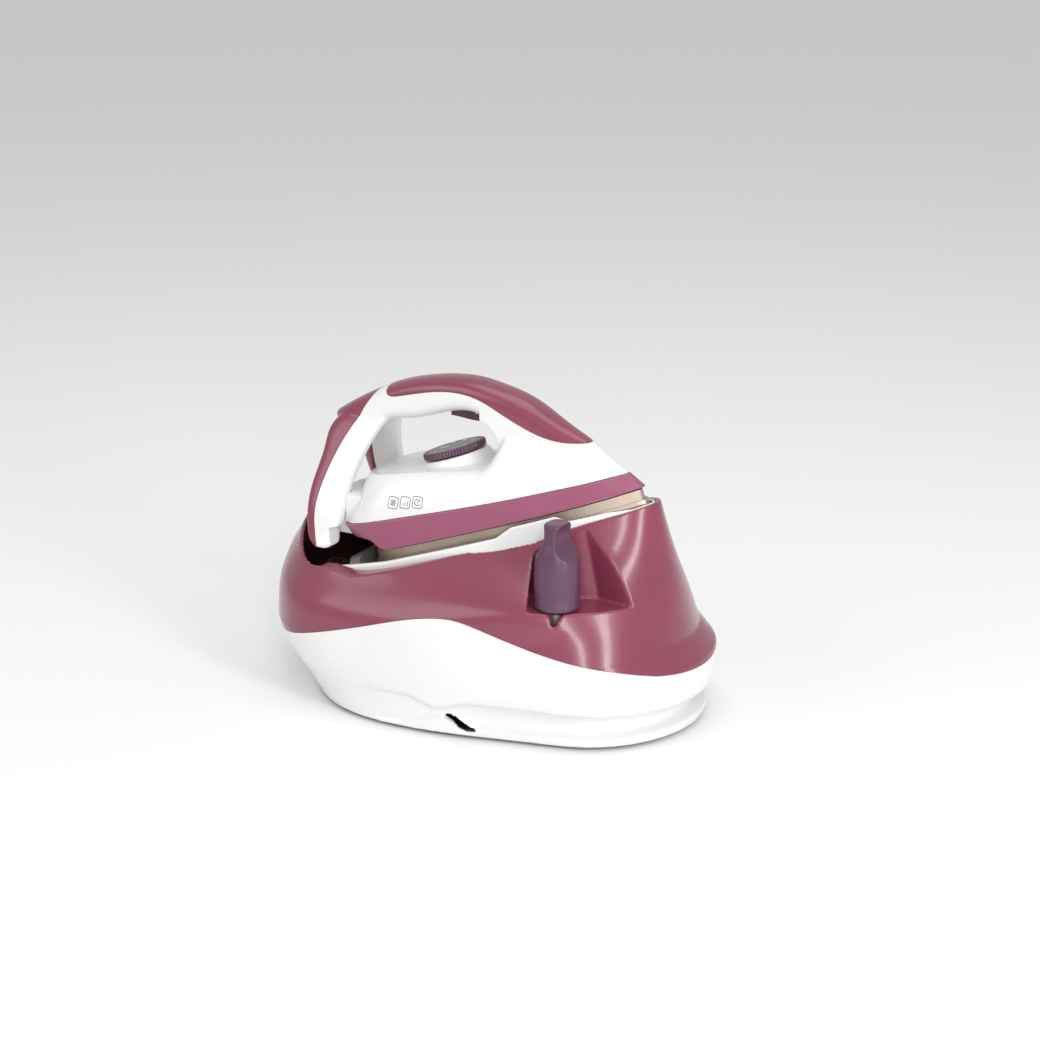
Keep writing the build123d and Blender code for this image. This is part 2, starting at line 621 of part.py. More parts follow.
# Side-view lines of the handle: its top edge, the joint between grip and shell, and the finger opening.
TOP_LINE = [(-131, 202.5), (-115, 212.5), (-93, 224), (-79, 230), (-58, 236), (-37, 239.5), (-12, 240),
            (5, 237), (21, 233), (38, 226), (54, 217), (70, 209), (80, 204)]
GRIP_LINE = [(-83, 222), (-71, 223), (-54, 227), (-29, 231), (-4, 228), (12, 221), (29, 213), (45, 207),
             (62, 204), (80, 204)]
OPENING = [(-96, 188), (-89, 197), (-78, 201.5), (-63, 204), (-45, 209), (-28, 214), (-13, 215), (-3, 212),
           (6, 206), (11, 197), (11, 189), (6, 181)]
HANDLE_PLAN = [(-134, 0), (-129, 10), (-116, 15.5), (-90, 16.5), (0, 16.5), (40, 15), (66, 12), (85, 8),
               (100, 4), (112, 0)]


def side_profile(top, bottom, front=(), rear=(), half_depth=60):
    """A closed side view between an upper and a lower curve, extruded both ways in Y."""
    with BuildSketch(Plane.XZ) as face:
        with BuildLine():
            upper_line = Spline(*top)
            lower_line = Spline(*bottom)
            Polyline(upper_line @ 0, *rear, lower_line @ 0)
            Polyline(upper_line @ 1, *front, lower_line @ 1)
        make_face()
    with BuildPart() as solid:
        extrude(face.sketch, amount=half_depth, both=True)
    return solid.part


def plan_column(half, low=150, high=260):
    """A vertical column over a mirrored plan outline with a pointed nose."""
    with BuildSketch(Plane.XY.offset(low)) as face:
        with BuildLine():
            Spline(*[(x, -y) for x, y in half])
            Spline(*half)
        make_face()
    with BuildPart() as solid:
        extrude(face.sketch, amount=high - low)
    return solid.part


handle_column = plan_column(HANDLE_PLAN)


def leg(side, front, rear):
    """One leg of the forked heel, lofted through level sections given as (z, x_front, x_rear, y)."""
    faces = []
    for z, x_front, x_rear, y in zip(LEG_LEVELS, front, rear, LEG_SPREAD):
        with BuildSketch(Plane.XY.offset(z)) as level:
            with Locations(((x_front + x_rear) / 2, side * y)):
                RectangleRounded(x_front - x_rear, LEG_WIDTH, min(4.5, (x_front - x_rear) * 0.4))
        faces.append(level.sketch)
    with BuildPart() as solid:
        loft(sections=faces)
    return solid.part


LEG_LEVELS = [113, 132, 155, 180, 205]
LEG_SPREAD = [56, 49, 38, 24, 9]
LEG_WIDTH = 15.0
LEG_FRONT = [-101, -102, -101, -95, -84]
LEG_BORDER = [-119, -125.5, -124, -117, -106]
LEG_REAR = [-121.5, -130, -132, -129.5, -122]

with BuildPart() as body_hull:
    loft(sections=body_form)
    add(block(-200, 11, -80, 80, 0, 60, deck_plane), mode=Mode.SUBTRACT)

with BuildPart() as iron_body:
    add(body_hull.part)
    with BuildPart(mode=Mode.PRIVATE) as body_hollow:
        loft(sections=body_space)
        add(block(-200, 200, -80, 80, -3, 60, deck_plane), mode=Mode.SUBTRACT)
    add(body_hollow.part, mode=Mode.SUBTRACT)
    # the grip's seat along the ridge
    add(side_profile([(x, z + 30) for x, z in GRIP_LINE], [(x, z - 0.15) for x, z in GRIP_LINE]),
        mode=Mode.SUBTRACT)
    # holes for the steam tube and the dial's spindle
    with Locations((-95, 0, STEAM_TUBE_Z)):
        Cylinder(4.4, 60, rotation=(0, 90, 0), mode=Mode.SUBTRACT)
    add(disc(DIAL_U, 0, 40, 80, 3.3, IRON), mode=Mode.SUBTRACT)
iron_body.part.label = "iron_body"
export_step(iron_body.part, "parts/iron_body.step")

with BuildPart() as handle_cut:
    add(side_profile(GRIP_LINE, OPENING, [(108, 184), (108, 176), (6, 176)], [(-104, 206)]) & handle_column)
    for side in (-1, 1):
        add(leg(side, LEG_FRONT, LEG_BORDER))
    add(body_hull.part, mode=Mode.SUBTRACT)
    # room for the trigger and its microswitch, and the pin's holes
    with Locations((-19, 0, 216)):
        Box(32, 15, 16, mode=Mode.SUBTRACT)
    with Locations((TRIGGER_PIN_X, 0, TRIGGER_PIN_Z)):
        Cylinder(1.25, 20.4, rotation=(90, 0, 0), mode=Mode.SUBTRACT)
with BuildPart() as handle_shell:
    # the largest solid, without the chips inside the body
    add(handle_cut.part.solids().sort_by(SortBy.VOLUME)[-1])
handle_shell.part.label = "handle_shell"
export_step(handle_shell.part, "parts/handle_shell.step")

with BuildPart() as top_grip:
    add(side_profile(TOP_LINE[3:], [(x, z + 0.15) for x, z in GRIP_LINE[:-1]]) & handle_column)
top_grip.part.label = "top_grip"
export_step(top_grip.part, "parts/top_grip.step")

with BuildPart() as rear_cover:
    with BuildSketch(Plane.XZ) as cover_face:
        with BuildLine():
            Spline(*TOP_LINE[:3])
            Polyline(TOP_LINE[2], (-107, 205.5), (-120, 196), TOP_LINE[0])
        make_face()
    extrude(cover_face.sketch, amount=60, both=True)
    add(handle_column, mode=Mode.INTERSECT)
    for side in (-1, 1):
        add(leg(side, [x - 0.2 for x in LEG_BORDER], LEG_REAR))
    add(handle_shell.part, mode=Mode.SUBTRACT)
rear_cover.part.label = "rear_cover"
export_step(rear_cover.part, "parts/rear_cover.step")

with BuildPart() as heel_bridge:
    add(prism([(-126, -44), (-126, 44), (-88, 44), (-88, -44)], 120, 150))
    chamfer(heel_bridge.edges().group_by(Axis.Z)[-1].sort_by(Axis.X)[0], length=14)
    add(body_hull.part, mode=Mode.SUBTRACT)
    add(heat_skirt.part, mode=Mode.SUBTRACT)
    add(handle_shell.part, mode=Mode.SUBTRACT)
    add(rear_cover.part, mode=Mode.SUBTRACT)
    with Locations((-116, 0, 130)):
        Cylinder(7.1, 60, mode=Mode.SUBTRACT)
    with Locations((-98, 0, STEAM_TUBE_Z)):
        Cylinder(4.4, 40, rotation=(0, 90, 0), mode=Mode.SUBTRACT)
heel_bridge.part.label = "heel_bridge"
export_step(heel_bridge.part, "parts/heel_bridge.step")

with BuildPart() as iron_gland:
    with Locations((-116, 0, 122)):
        Cylinder(7, 24)
    with Locations((-116, 0, 118)):
        Cylinder(9.5, 4)
    with Locations((-116, 0, 122)):
        Cylinder(4.5, 60, mode=Mode.SUBTRACT)
iron_gland.part.label = "iron_gland"
export_step(iron_gland.part, "parts/iron_gland.step")

# ---------------------------------------------------------------- iron: dial, trigger
with BuildPart() as dial_collar:
    loft(sections=[
        Face(Wire(Edge.make_circle(DIAL_RADIUS + 8, Plane(IRON * Pos(DIAL_U, 0, DIAL_W - 14))))),
        Face(Wire(Edge.make_circle(DIAL_RADIUS + 1, Plane(IRON * Pos(DIAL_U, 0, DIAL_W - 1))))),
    ])
    add(block(-200, 200, -80, 80, -40, 0.1, deck_plane), mode=Mode.SUBTRACT)
    add(disc(DIAL_U, 0, 40, 80, 3.3, IRON), mode=Mode.SUBTRACT)
dial_collar.part.label = "dial_collar"
export_step(dial_collar.part, "parts/dial_collar.step")

dial_centre = Plane(IRON * Pos(DIAL_U, 0, DIAL_W))
with BuildPart(dial_centre) as temperature_dial:
    with Locations((0, 0, 2.6)):
        Cylinder(DIAL_RADIUS, 5.2)
    with PolarLocations(DIAL_RADIUS, 60):
        Cylinder(0.7, 20, mode=Mode.SUBTRACT)
    with Locations((0, 0, 5)):
        Cylinder(DIAL_RADIUS - 3, 1.4, mode=Mode.SUBTRACT)
temperature_dial.part.label = "temperature_dial"
export_step(temperature_dial.part, "parts/temperature_dial.step")

with BuildPart(dial_centre) as dial_face:
    with Locations((0, 0, 4.9)):
        Cylinder(DIAL_RADIUS - 3.1, 1)
dial_face.part.label = "dial_face"
export_step(dial_face.part, "parts/dial_face.step")

with BuildPart(dial_centre) as dial_spindle:
    with Locations((0, 0, -16.2)):
        Cylinder(3, 32)
dial_spindle.part.label = "dial_spindle"
export_step(dial_spindle.part, "parts/dial_spindle.step")

with BuildPart() as steam_trigger:
    with BuildSketch(Plane.XZ) as trigger_face:
        with BuildLine():
            Spline((-32, 211), (-24, 210.5), (-14, 209.5), (-7, 209.5))
            Polyline((-7, 209.5), (-5.5, 213), (-5.5, 218.5), (-11, 218.5), (-32, 217), (-32, 211))
        make_face()
    extrude(trigger_face.sketch, amount=7, both=True)
    with Locations((TRIGGER_PIN_X, 0, TRIGGER_PIN_Z)):
        Cylinder(1.25, 40, rotation=(90, 0, 0), mode=Mode.SUBTRACT)
steam_trigger.part.label = "steam_trigger"
export_step(steam_trigger.part, "parts/steam_trigger.step")

with BuildPart() as trigger_pin:
    with Locations((TRIGGER_PIN_X, 0, TRIGGER_PIN_Z)):
        Cylinder(1.2, 20, rotation=(90, 0, 0))
trigger_pin.part.label = "trigger_pin"
export_step(trigger_pin.part, "parts/trigger_pin.step")

with BuildPart() as trigger_spring:
    with Locations((-28, 0, 220.8)):
        Cylinder(2.2, 6.2)
trigger_spring.part.label = "trigger_spring"
export_step(trigger_spring.part, "parts/trigger_spring.step")

with BuildPart() as steam_switch:
    with Locations((-20, 0, 222)):
        Box(10, 6, 3.4)
steam_switch.part.label = "steam_switch"
export_step(steam_switch.part, "parts/steam_switch.step")

with BuildPart() as steam_tube:
    with BuildLine() as route:
        FilletPolyline(
            (-116, 0, 134.2), (-116, 0, STEAM_TUBE_Z), (-70, 0, STEAM_TUBE_Z), (-42, 0, 129),
            radius=7,
        )
    with BuildSketch(Plane(route.line @ 0, z_dir=route.line % 0)) as bore:
        Circle(3.5)
        Circle(2.2, mode=Mode.SUBTRACT)
    sweep(sections=bore.sketch, path=route.line)
steam_tube.part.label = "steam_tube"
export_step(steam_tube.part, "parts/steam_tube.step")
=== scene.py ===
"""How the steam generator iron looks: mouldings, handle, cap and dial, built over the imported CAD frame."""

import json
import math

import bmesh
import bpy
import numpy as np
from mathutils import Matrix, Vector


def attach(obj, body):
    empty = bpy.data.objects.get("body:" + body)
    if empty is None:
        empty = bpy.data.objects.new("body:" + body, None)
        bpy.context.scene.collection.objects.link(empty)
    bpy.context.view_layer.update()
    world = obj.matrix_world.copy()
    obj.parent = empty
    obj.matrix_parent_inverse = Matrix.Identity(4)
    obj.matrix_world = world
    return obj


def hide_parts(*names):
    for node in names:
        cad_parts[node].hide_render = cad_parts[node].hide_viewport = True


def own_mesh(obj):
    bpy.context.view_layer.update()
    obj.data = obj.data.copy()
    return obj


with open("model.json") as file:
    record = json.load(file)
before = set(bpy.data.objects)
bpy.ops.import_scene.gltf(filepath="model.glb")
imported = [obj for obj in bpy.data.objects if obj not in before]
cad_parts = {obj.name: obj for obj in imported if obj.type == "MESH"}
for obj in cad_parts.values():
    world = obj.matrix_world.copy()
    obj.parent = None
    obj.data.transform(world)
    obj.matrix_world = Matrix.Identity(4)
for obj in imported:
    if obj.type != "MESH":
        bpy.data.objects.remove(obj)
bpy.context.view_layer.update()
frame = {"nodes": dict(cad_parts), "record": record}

MM = 0.001
UP = np.array([0.0, 0.0, 1.0])

# ---------------------------------------------------------------- driving dimensions, in millimetres
REST_TILT = math.radians(18.0)      # slope of the rest, nose up
REST_HEIGHT = 119.8                 # height of the rest's surface above the origin
BOW_CENTRE = 74.0                   # centre of the round bow, in plan
WALL = 2.8                          # moulded wall
PARTING = 0.2                       # half of the line left between two mouldings
BASE_VOXEL = 1.1                    # mesh size of the base's mouldings
IRON_VOXEL = 0.9                    # of the iron's mouldings
BAND_VOXEL = 0.7                    # of the lip round the rest and of the heat skirt
CAP_VOXEL = 0.5                     # of the filler cap
LEDGE_HEIGHT = 100.5                # floor of the filler niche
CAP_AXIS = (87.0, -68.0)            # plan position of the filler cap


# ---------------------------------------------------------------- curves
def spline_values(knots, values, at, closed=False):
    """A cubic spline through values at knots, read at the given places. A closed one ends where it starts."""
    knots = np.asarray(knots, float)
    values = np.asarray(values, float)
    flat = values.reshape(len(values), -1)
    n = len(flat)
    gaps = np.diff(knots)
    matrix = np.zeros((n, n))
    right = np.zeros_like(flat)
    for i in range(n):
        if not closed and i in (0, n - 1):
            matrix[i, i] = 1.0
            continue
        before, after = (i - 1) % n, (i + 1) % n
        h0, h1 = gaps[i - 1], gaps[i]
        matrix[i, before] += h0
        matrix[i, i] += 2 * (h0 + h1)
        matrix[i, after] += h1
        right[i] = 6 * ((flat[after] - flat[i]) / h1 - (flat[i] - flat[before]) / h0)
    bend = np.linalg.solve(matrix, right)
    span = np.clip(np.searchsorted(knots, at, side="right") - 1, 0, len(gaps) - 1)
    h = gaps[span][:, None]
    b = (np.asarray(at) - knots[span])[:, None] / h
    a = 1 - b
    far = (span + 1) % n
    curve = a * flat[span] + b * flat[far]
    curve += ((a ** 3 - a) * bend[span] + (b ** 3 - b) * bend[far]) * h * h / 6
    return curve.reshape((len(curve),) + values.shape[1:])


def through(points, per_span=12, closed=False):
    """A smooth curve through points, with the same number of samples between each pair."""
    pts = np.asarray(points, float)
    ends = np.vstack([pts, pts[:1]]) if closed else pts
    knots = np.concatenate([[0], np.cumsum(np.linalg.norm(np.diff(ends, axis=0), axis=1))])
    at = np.concatenate([np.linspace(a, b, per_span, endpoint=False) for a, b in zip(knots, knots[1:])])
    if not closed:
        at = np.append(at, knots[-1])
    return spline_values(knots, pts, at, closed)


def smooth(points, per_span):
    """The same smooth curve as a list of points."""
    return [tuple(p) for p in through(points, per_span)]


def graph(points, x):
    """The height at x of a graph drawn with straight lines through points."""
    xs, heights = zip(*points)
    return np.interp(x, xs, heights)


def ease(t):
    """Runs softly from 0 to 1 as t does, and stays there beyond."""
    t = np.clip(t, 0, 1)
    return t * t * (3 - 2 * t)


def turn(count):
    """Angles evenly spaced round a circle."""
    return np.linspace(0, 2 * math.pi, count, endpoint=False)


def outline(half, per_span=14):
    """A closed outline from its nose-first half, mirrored in Y."""
    mirrored = [(x, -y) for x, y in reversed(half[1:-1])]
    return through(list(half) + mirrored, per_span, closed=True)


def on_plane(flat, height, angle=0.0):
    """Points of a plan outline lifted onto a plane through (0, 0, height), nose up by angle."""
    u, v = flat[:, 0], flat[:, 1]
    return np.stack([u * math.cos(angle), v, height + u * math.sin(angle)], axis=1)


def iron_point(u, v, w):
    """A place given along the soleplate, across it and square to it, turned into the object's axes."""
    return (u * math.cos(REST_TILT) - w * math.sin(REST_TILT), v,
            REST_HEIGHT + u * math.sin(REST_TILT) + w * math.cos(REST_TILT))


def iron_ring(flat, w, slope=0.0):
    """A plan outline in the iron's axes at height w, with a slope along the iron."""
    return np.array([iron_point(u, v, w - slope * u) for u, v in flat])


def iron_circle(u, v, w, radius, count=96):
    """A circle in the iron's axes, level with the soleplate."""
    return np.array([iron_point(u + radius * math.cos(a), v + radius * math.sin(a), w) for a in turn(count)])


# ---------------------------------------------------------------- meshes
def new_object(name, verts, faces):
    """A mesh object from vertices in millimetres, with its faces turned outwards."""
    mesh = bpy.data.meshes.new(name)
    mesh.from_pydata([tuple(v) for v in np.asarray(verts, float) * MM], [], faces)
    form = bmesh.new()
    form.from_mesh(mesh)
    bmesh.ops.recalc_face_normals(form, faces=form.faces)
    form.to_mesh(mesh)
    form.free()
    piece = bpy.data.objects.new(name, mesh)
    bpy.context.scene.collection.objects.link(piece)
    shade(piece)
    return piece


def shade(piece):
    """Smooth shading, with creases kept where the surface turns by more than 35 degrees."""
    mesh = piece.data
    mesh.shade_smooth()
    mesh.set_sharp_from_angle(angle=math.radians(35))


def loft(name, rings, closed=True):
    """A closed skin through rings of equal length, capped at both ends."""
    count = len(rings[0])
    verts = np.vstack(rings)
    faces = []
    for level in range(len(rings) - 1):
        a, b = level * count, (level + 1) * count
        for i in range(count):
            j = (i + 1) % count
            faces.append((a + i, a + j, b + j, b + i))
    faces.append(tuple(reversed(range(count))))
    faces.append(tuple(range((len(rings) - 1) * count, len(rings) * count)))
    return new_object(name, verts, faces)


def prism(name, profile, y0=-130.0, y1=130.0):
    """A side-view outline in X and Z, extruded across the object."""
    near = np.array([(x, y0, z) for x, z in profile])
    far = np.array([(x, y1, z) for x, z in profile])
    return loft(name, [near, far])


def column(name, plan, z0, z1):
    """A plan outline extruded upwards."""
    return loft(name, [np.array([(x, y, z) for x, y in plan]) for z in (z0, z1)])


def shift(piece, x=0.0, z=0.0):
    """Moves a mesh, in millimetres."""
    for v in piece.data.vertices:
        v.co.x += x * MM
        v.co.z += z * MM


def bake(piece):
    """Applies the piece's modifiers."""
    graph = bpy.context.evaluated_depsgraph_get()
    mesh = bpy.data.meshes.new_from_object(piece.evaluated_get(graph))
    piece.modifiers.clear()
    piece.data = mesh
    shade(piece)
    return piece


def fuse(name, pieces, voxel, rounds):
    """Joins closed meshes into one skin and rounds its edges, the more the more rounds."""
    verts, faces = [], []
    for piece in pieces:
        start = len(verts)
        verts += [v.co / MM for v in piece.data.vertices]
        faces += [tuple(start + i for i in p.vertices) for p in piece.data.polygons]
        bpy.data.objects.remove(piece)
    whole = new_object(name, verts, faces)
    remesh = whole.modifiers.new("fuse", "REMESH")
    remesh.mode = "VOXEL"
    remesh.voxel_size = voxel * MM
    soft = whole.modifiers.new("soften", "SMOOTH")
    soft.iterations = rounds
    return bake(whole)


def cut(piece, tools, operation="DIFFERENCE", keep=False):
    """Cuts with closed meshes, or keeps only what they share. The tools are thrown away unless kept."""
    for tool in tools:
        change = piece.modifiers.new("cut", "BOOLEAN")
        change.operation = operation
        change.solver = "MANIFOLD"
        change.object = tool
        bake(piece)
    if not keep:
        for tool in tools:
            bpy.data.objects.remove(tool)
    return piece


def copy_of(piece, name):
    """A second object with its own copy of the mesh."""
    twin = bpy.data.objects.new(name, piece.data.copy())
    bpy.context.scene.collection.objects.link(twin)
    return twin


def box(name, x0, x1, y0, y1, z0, z1, place=lambda x, y, z: (x, y, z)):
    """A box between two corners; place turns each corner into the object's axes."""
    corners = ((x0, y0), (x1, y0), (x1, y1), (x0, y1))
    return loft(name, [np.array([place(x, y, z) for x, y in corners]) for z in (z0, z1)])


def iron_prism(name, profile, v0=-130.0, v1=130.0):
    """A side-view outline in the iron's axes, extruded across it."""
    return loft(name, [np.array([iron_point(u, v, w) for u, w in profile]) for v in (v0, v1)])


def rod(name, start, along, radius, count=48):
    """A round bar from start, running by the vector along, which follows X or Y."""
    across = np.array([1.0, 0.0, 0.0] if along[1] else [0.0, 1.0, 0.0])
    ring = np.array([radius * (math.cos(a) * across + math.sin(a) * UP) for a in turn(count)])
    return loft(name, [ring + start, ring + start + along])


# ---------------------------------------------------------------- base: outer form
def base_half(nose, width, tail):
    """Half outline of the base: a round bow, a full side and a rounded stern."""
    bow = nose - BOW_CENTRE
    arc = [(BOW_CENTRE + bow * math.cos(math.radians(a)), bow * math.sin(math.radians(a)))
           for a in (0, 30, 60, 88)]
    side = [(10, width), (-60, width - 2)]
    stern = [(tail + 52, width * 0.87), (tail + 20, width * 0.57), (tail, 0)]
    return arc + side + stern


BRIM = [(158, 0), (149, 42), (120, 81), (74, 96), (10, 106.5), (-60, 104), (-121, 92), (-153, 60), (-173, 0)]
SIDE = [(154, 0), (144, 40), (118, 74), (74, 93), (10, 103), (-60, 100), (-120, 88), (-152, 57), (-171, 0)]
LEDGE = [(150, 0), (141, 34), (115, 67), (74, 90), (10, 93), (-60, 87), (-118, 77), (-147, 51), (-166, 0)]
SHOULDER = [(142, 0), (134, 24), (112, 43), (74, 58), (10, 65), (-58, 73), (-116, 71), (-143, 47), (-160, 0)]
TOP = [(134.6, 0), (129.4, 11.6), (109.6, 25.2), (75, 37), (10, 23), (-50, 31), (-108, 53), (-135, 39),
       (-150, 0)]
# The base's form below and above the crease at the brim, level by level: the height of a plane over the
# origin, its tilt in degrees, and the half outline on it.
FLANK_LEVELS = [(3, 0, base_half(165, 104, -139)), (9, 0, base_half(166, 104, -143)),
                (17, 0, base_half(165, 104, -149)), (28, 0, base_half(170, 105.5, -158)),
                (43, 0, base_half(174, 107, -168)), (55, 0, base_half(172, 107, -173))]
UPPER_LEVELS = [(66, 0, BRIM), (84, 0, SIDE), (LEDGE_HEIGHT, 0, LEDGE), (122, 4, SHOULDER), (150, 7.5, TOP)]
# The hose's groove round the foot of the base, each along X: how deep it is, and its upper and lower edge.
GROOVE_DEPTH = [(-70, 0), (-40, 2.2), (0, 3.6), (60, 4.6), (110, 6.5), (150, 8.5), (166, 9.5)]
GROOVE_TOP = [(-60, 27), (-50, 29), (-17, 30), (-6, 27), (5, 22.5), (16, 25), (31, 30), (73, 31), (120, 29),
              (170, 27)]
GROOVE_FOOT = [(-60, 3), (-22, 4), (-8, 7.5), (2, 11), (14, 15), (24, 14), (39, 8), (60, 7), (120, 8),
               (170, 9)]
GROOVE_CENTRE = 30.0                # the groove is pressed in towards this place on the X axis
GROOVE_SLOPE_FOOT, GROOVE_SLOPE_TOP = 4.0, 4.5      # height over which each edge runs out


def shrink(ring, inset):
    """A plan outline round the origin, moved inwards by inset along its own normals."""
    ahead = np.roll(ring, -1, axis=0) - np.roll(ring, 1, axis=0)
    normal = np.stack([ahead[:, 1], -ahead[:, 0]], axis=1)
    normal /= np.linalg.norm(normal, axis=1)[:, None]
    out = np.sign(np.sum(normal * ring, axis=1))[:, None]
    return ring - normal * out * inset


def base_rings(inset=0.0):
    """Rings up the whole base, smooth from level to level, with one crease above the brim."""
    rings = []
    for levels in (FLANK_LEVELS, UPPER_LEVELS):
        heights = [z for z, _, _ in levels]
        forms = [on_plane(shrink(outline(half), inset), z, math.radians(tilt)) for z, tilt, half in levels]
        at = np.concatenate([np.linspace(a, b, 10, endpoint=False) for a, b in zip(heights, heights[1:])]
                            + [heights[-1:]])
        rings += list(spline_values(heights, np.array(forms), at))
    return rings


def hose_groove(rings, spread=0.0):
    """Presses the hose's groove into the foot of the base, up to the two tongues that hold the hose.

    spread moves both edges of the groove apart, for the space behind it.
    """
    pressed = []
    for ring in rings:
        x, y, z = ring.T
        foot, top = graph(GROOVE_FOOT, x) - spread, graph(GROOVE_TOP, x) + spread
        over_foot = np.clip((z - foot) / GROOVE_SLOPE_FOOT, 0, 1)
        under_top = np.clip((top - z) / GROOVE_SLOPE_TOP, 0, 1)
        rise = ease(over_foot * under_top)
        reach = np.hypot(x - GROOVE_CENTRE, y)
        inward = 1 - graph(GROOVE_DEPTH, x) * rise / np.maximum(reach, 1)
        pressed.append(np.stack([GROOVE_CENTRE + (x - GROOVE_CENTRE) * inward, y * inward, z], axis=1))
    return pressed


# Side view of the line where the burgundy moulding meets the white one.
BORDER = [(210, 40), (172, 51), (149, 57), (126, 62.8), (100, 68.6), (71.5, 75.7), (42, 85), (23, 89),
          (3, 88), (-21, 83), (-55, 72.5), (-81, 64.5), (-105, 57.6), (-130, 51), (-160, 45), (-210, 38)]
WELL_FRONT, WELL_FLOOR = -104.0, 70.0       # the well behind the iron, where it starts and its floor
SWITCH_X, SIGNAL_Z, LAMPS_X = -55.0, 44.0, (-24.0, -10.0)
SWITCH_OPENING = (11.4, 7.4)                # half length and half height
LAMP_OPENING, MAINS_OPENING = 4.1, 7.1      # radii
MAINS_START = (-190.0, 30.0, 29.0)
REAR_WALL_TOP = 127.0
# Side view of the slot between the two tongues that hold the hose.
TONGUE_SLOT = [(11, 16.5), (17, 17), (23, 15.5), (29, 12), (34, 9.5), (41, 7.5), (39, 6), (31, 6), (25, 8),
               (20, 11.5), (15, 13.5)]
# Height of the burgundy moulding's top edge over the rest, along the iron: level beside the soleplate,
# rising round the well to the rear wall.
RIM_EDGE = [(-180, 62), (-145, 54), (-136, 44), (-131, 38), (-125, 30), (-120, 23.5), (-112, 19), (-98, 15.6),
            (-88, 12.4), (-80, 8.6), (-58, 4.8), (-8, 3.6), (62, 3.4), (104, 3.6), (200, 3.6)]
# Outer edge of the white lip around the rest, in the iron's axes, and the level of its foot there.
FRAME_OUTER = [(137.4, 0), (132.5, 10.6), (114.8, 23.9), (89, 37.4), (51.5, 50.4), (0, 61), (-42, 66.5),
               (-80, 70), (-104, 66), (-122, 48), (-127, 0)]
FRAME_SEAT = -8.4
# The lip's seat in the burgundy moulding, wider towards the top: inset from the lip's edge, and level.
SEAT_STEPS = [(0.8, FRAME_SEAT), (0.2, -3), (-0.25, 1), (-0.25, 60)]
LIP_SURROUND = 3.4                          # the moulding left around the lip, where the niche runs behind it
# Plan of the niche for the filler cap, and side view of the notch in the edge of its floor.
NICHE = [(95, -130), (73, -87), (61, -55), (62, -41), (84, -34.6), (150, -46.5), (150, -130)]
NOTCH = [(84, 104), (88, 100), (90.7, 96), (91.4, 92), (94.2, 92), (95.4, 96), (97.2, 100), (101, 104)]


def grown(plan, amount):
    """A polygon given clockwise, moved outwards by amount."""
    ring = np.array(plan[::-1], float)
    along = np.roll(ring, -1, axis=0) - ring
    along /= np.linalg.norm(along, axis=1)[:, None]
    normal = np.stack([along[:, 1], -along[:, 0]], axis=1)
    before = np.roll(normal, 1, axis=0)
    mitre = (before + normal) / (1 + np.sum(before * normal, axis=1))[:, None]
    return ring + amount * mitre


def base_hollow():
    """The space inside the mouldings of the base, with walls left around the niche, the rest and the well."""
    hollow = loft("base_hollow", hose_groove(base_rings(WALL), spread=6.0))
    return cut(hollow, [column("niche_wall", grown(NICHE, WALL), LEDGE_HEIGHT - WALL, 215),
                        box("deck_wall", -122, 260, -150, 150, FRAME_SEAT - WALL, 200, iron_point),
                        box("well_front", WELL_FRONT, WELL_FRONT + WALL, -90, 90, WELL_FLOOR, 140)])


def build_base():
    """The two mouldings of the base, cut from one form so that they meet flush."""
    solid = loft("base_solid", hose_groove(base_rings()))
    above_rim = iron_prism("above_rim", smooth(RIM_EDGE, 4) + [(200, 160), (-180, 160)])
    seat = loft("frame_seat", [iron_ring(shrink(outline(FRAME_OUTER), inset), w) for inset, w in SEAT_STEPS])
    top = box("top_cut", -250, -90, -150, 150, REAR_WALL_TOP, 260)
    niche = column("niche_cut", NICHE, LEDGE_HEIGHT, 210)
    surround = shrink(outline(FRAME_OUTER), -LIP_SURROUND)
    cut(niche, [loft("lip_surround", [iron_ring(surround, w) for w in (-60, LIP_SURROUND)])])
    notch = prism("notch", NOTCH, -110, -70)
    cut(solid, [base_hollow()])
    well = loft("well_space", base_rings(WALL))
    cut(well, [box("behind_rest", -220, WELL_FRONT, -130, 130, WELL_FLOOR, 260)], "INTERSECT")
    cut(solid, [well, above_rim, seat, top, niche, notch, prism("tongue_slot", TONGUE_SLOT, -120, -80)])
    upper = fuse("base_form", [solid], BASE_VOXEL, rounds=3)

    long, high = SWITCH_OPENING
    openings = [box("switch_opening", SWITCH_X - long, SWITCH_X + long, 80, 120,
                    SIGNAL_Z - high, SIGNAL_Z + high)]
    openings += [rod("lamp_opening", (x, 80, SIGNAL_Z), (0, 40, 0), LAMP_OPENING) for x in LAMPS_X]
    openings.append(rod("mains_opening", MAINS_START, (60, 0, 0), MAINS_OPENING))
    cut(upper, openings)

    below = prism("below_border", smooth(BORDER, 8) + [(-210, -40), (210, -40)])
    lower = cut(copy_of(upper, "lower_moulding"), [below], "INTERSECT", keep=True)
    shift(below, z=2 * PARTING)
    cut(upper, [below])
    upper.name = "upper_moulding"
    for piece, nodes, slot in ((lower, ("lower_shell",), "shell_white"),
                               (upper, ("upper_shell", "niche_liner"), "shell_burgundy")):
        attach(piece, "base")
        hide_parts(*nodes)
    return lower, upper


# ---------------------------------------------------------------- rest frame
# Inner edge of the lip, matching FRAME_OUTER point for point.
LIP_INNER = [(134.9, 0), (130, 9.2), (112.9, 22.2), (88.3, 35), (51.2, 47.4), (0, 56.8), (-42, 61.5),
             (-80, 64), (-104, 60), (-119, 43), (-123, 0)]
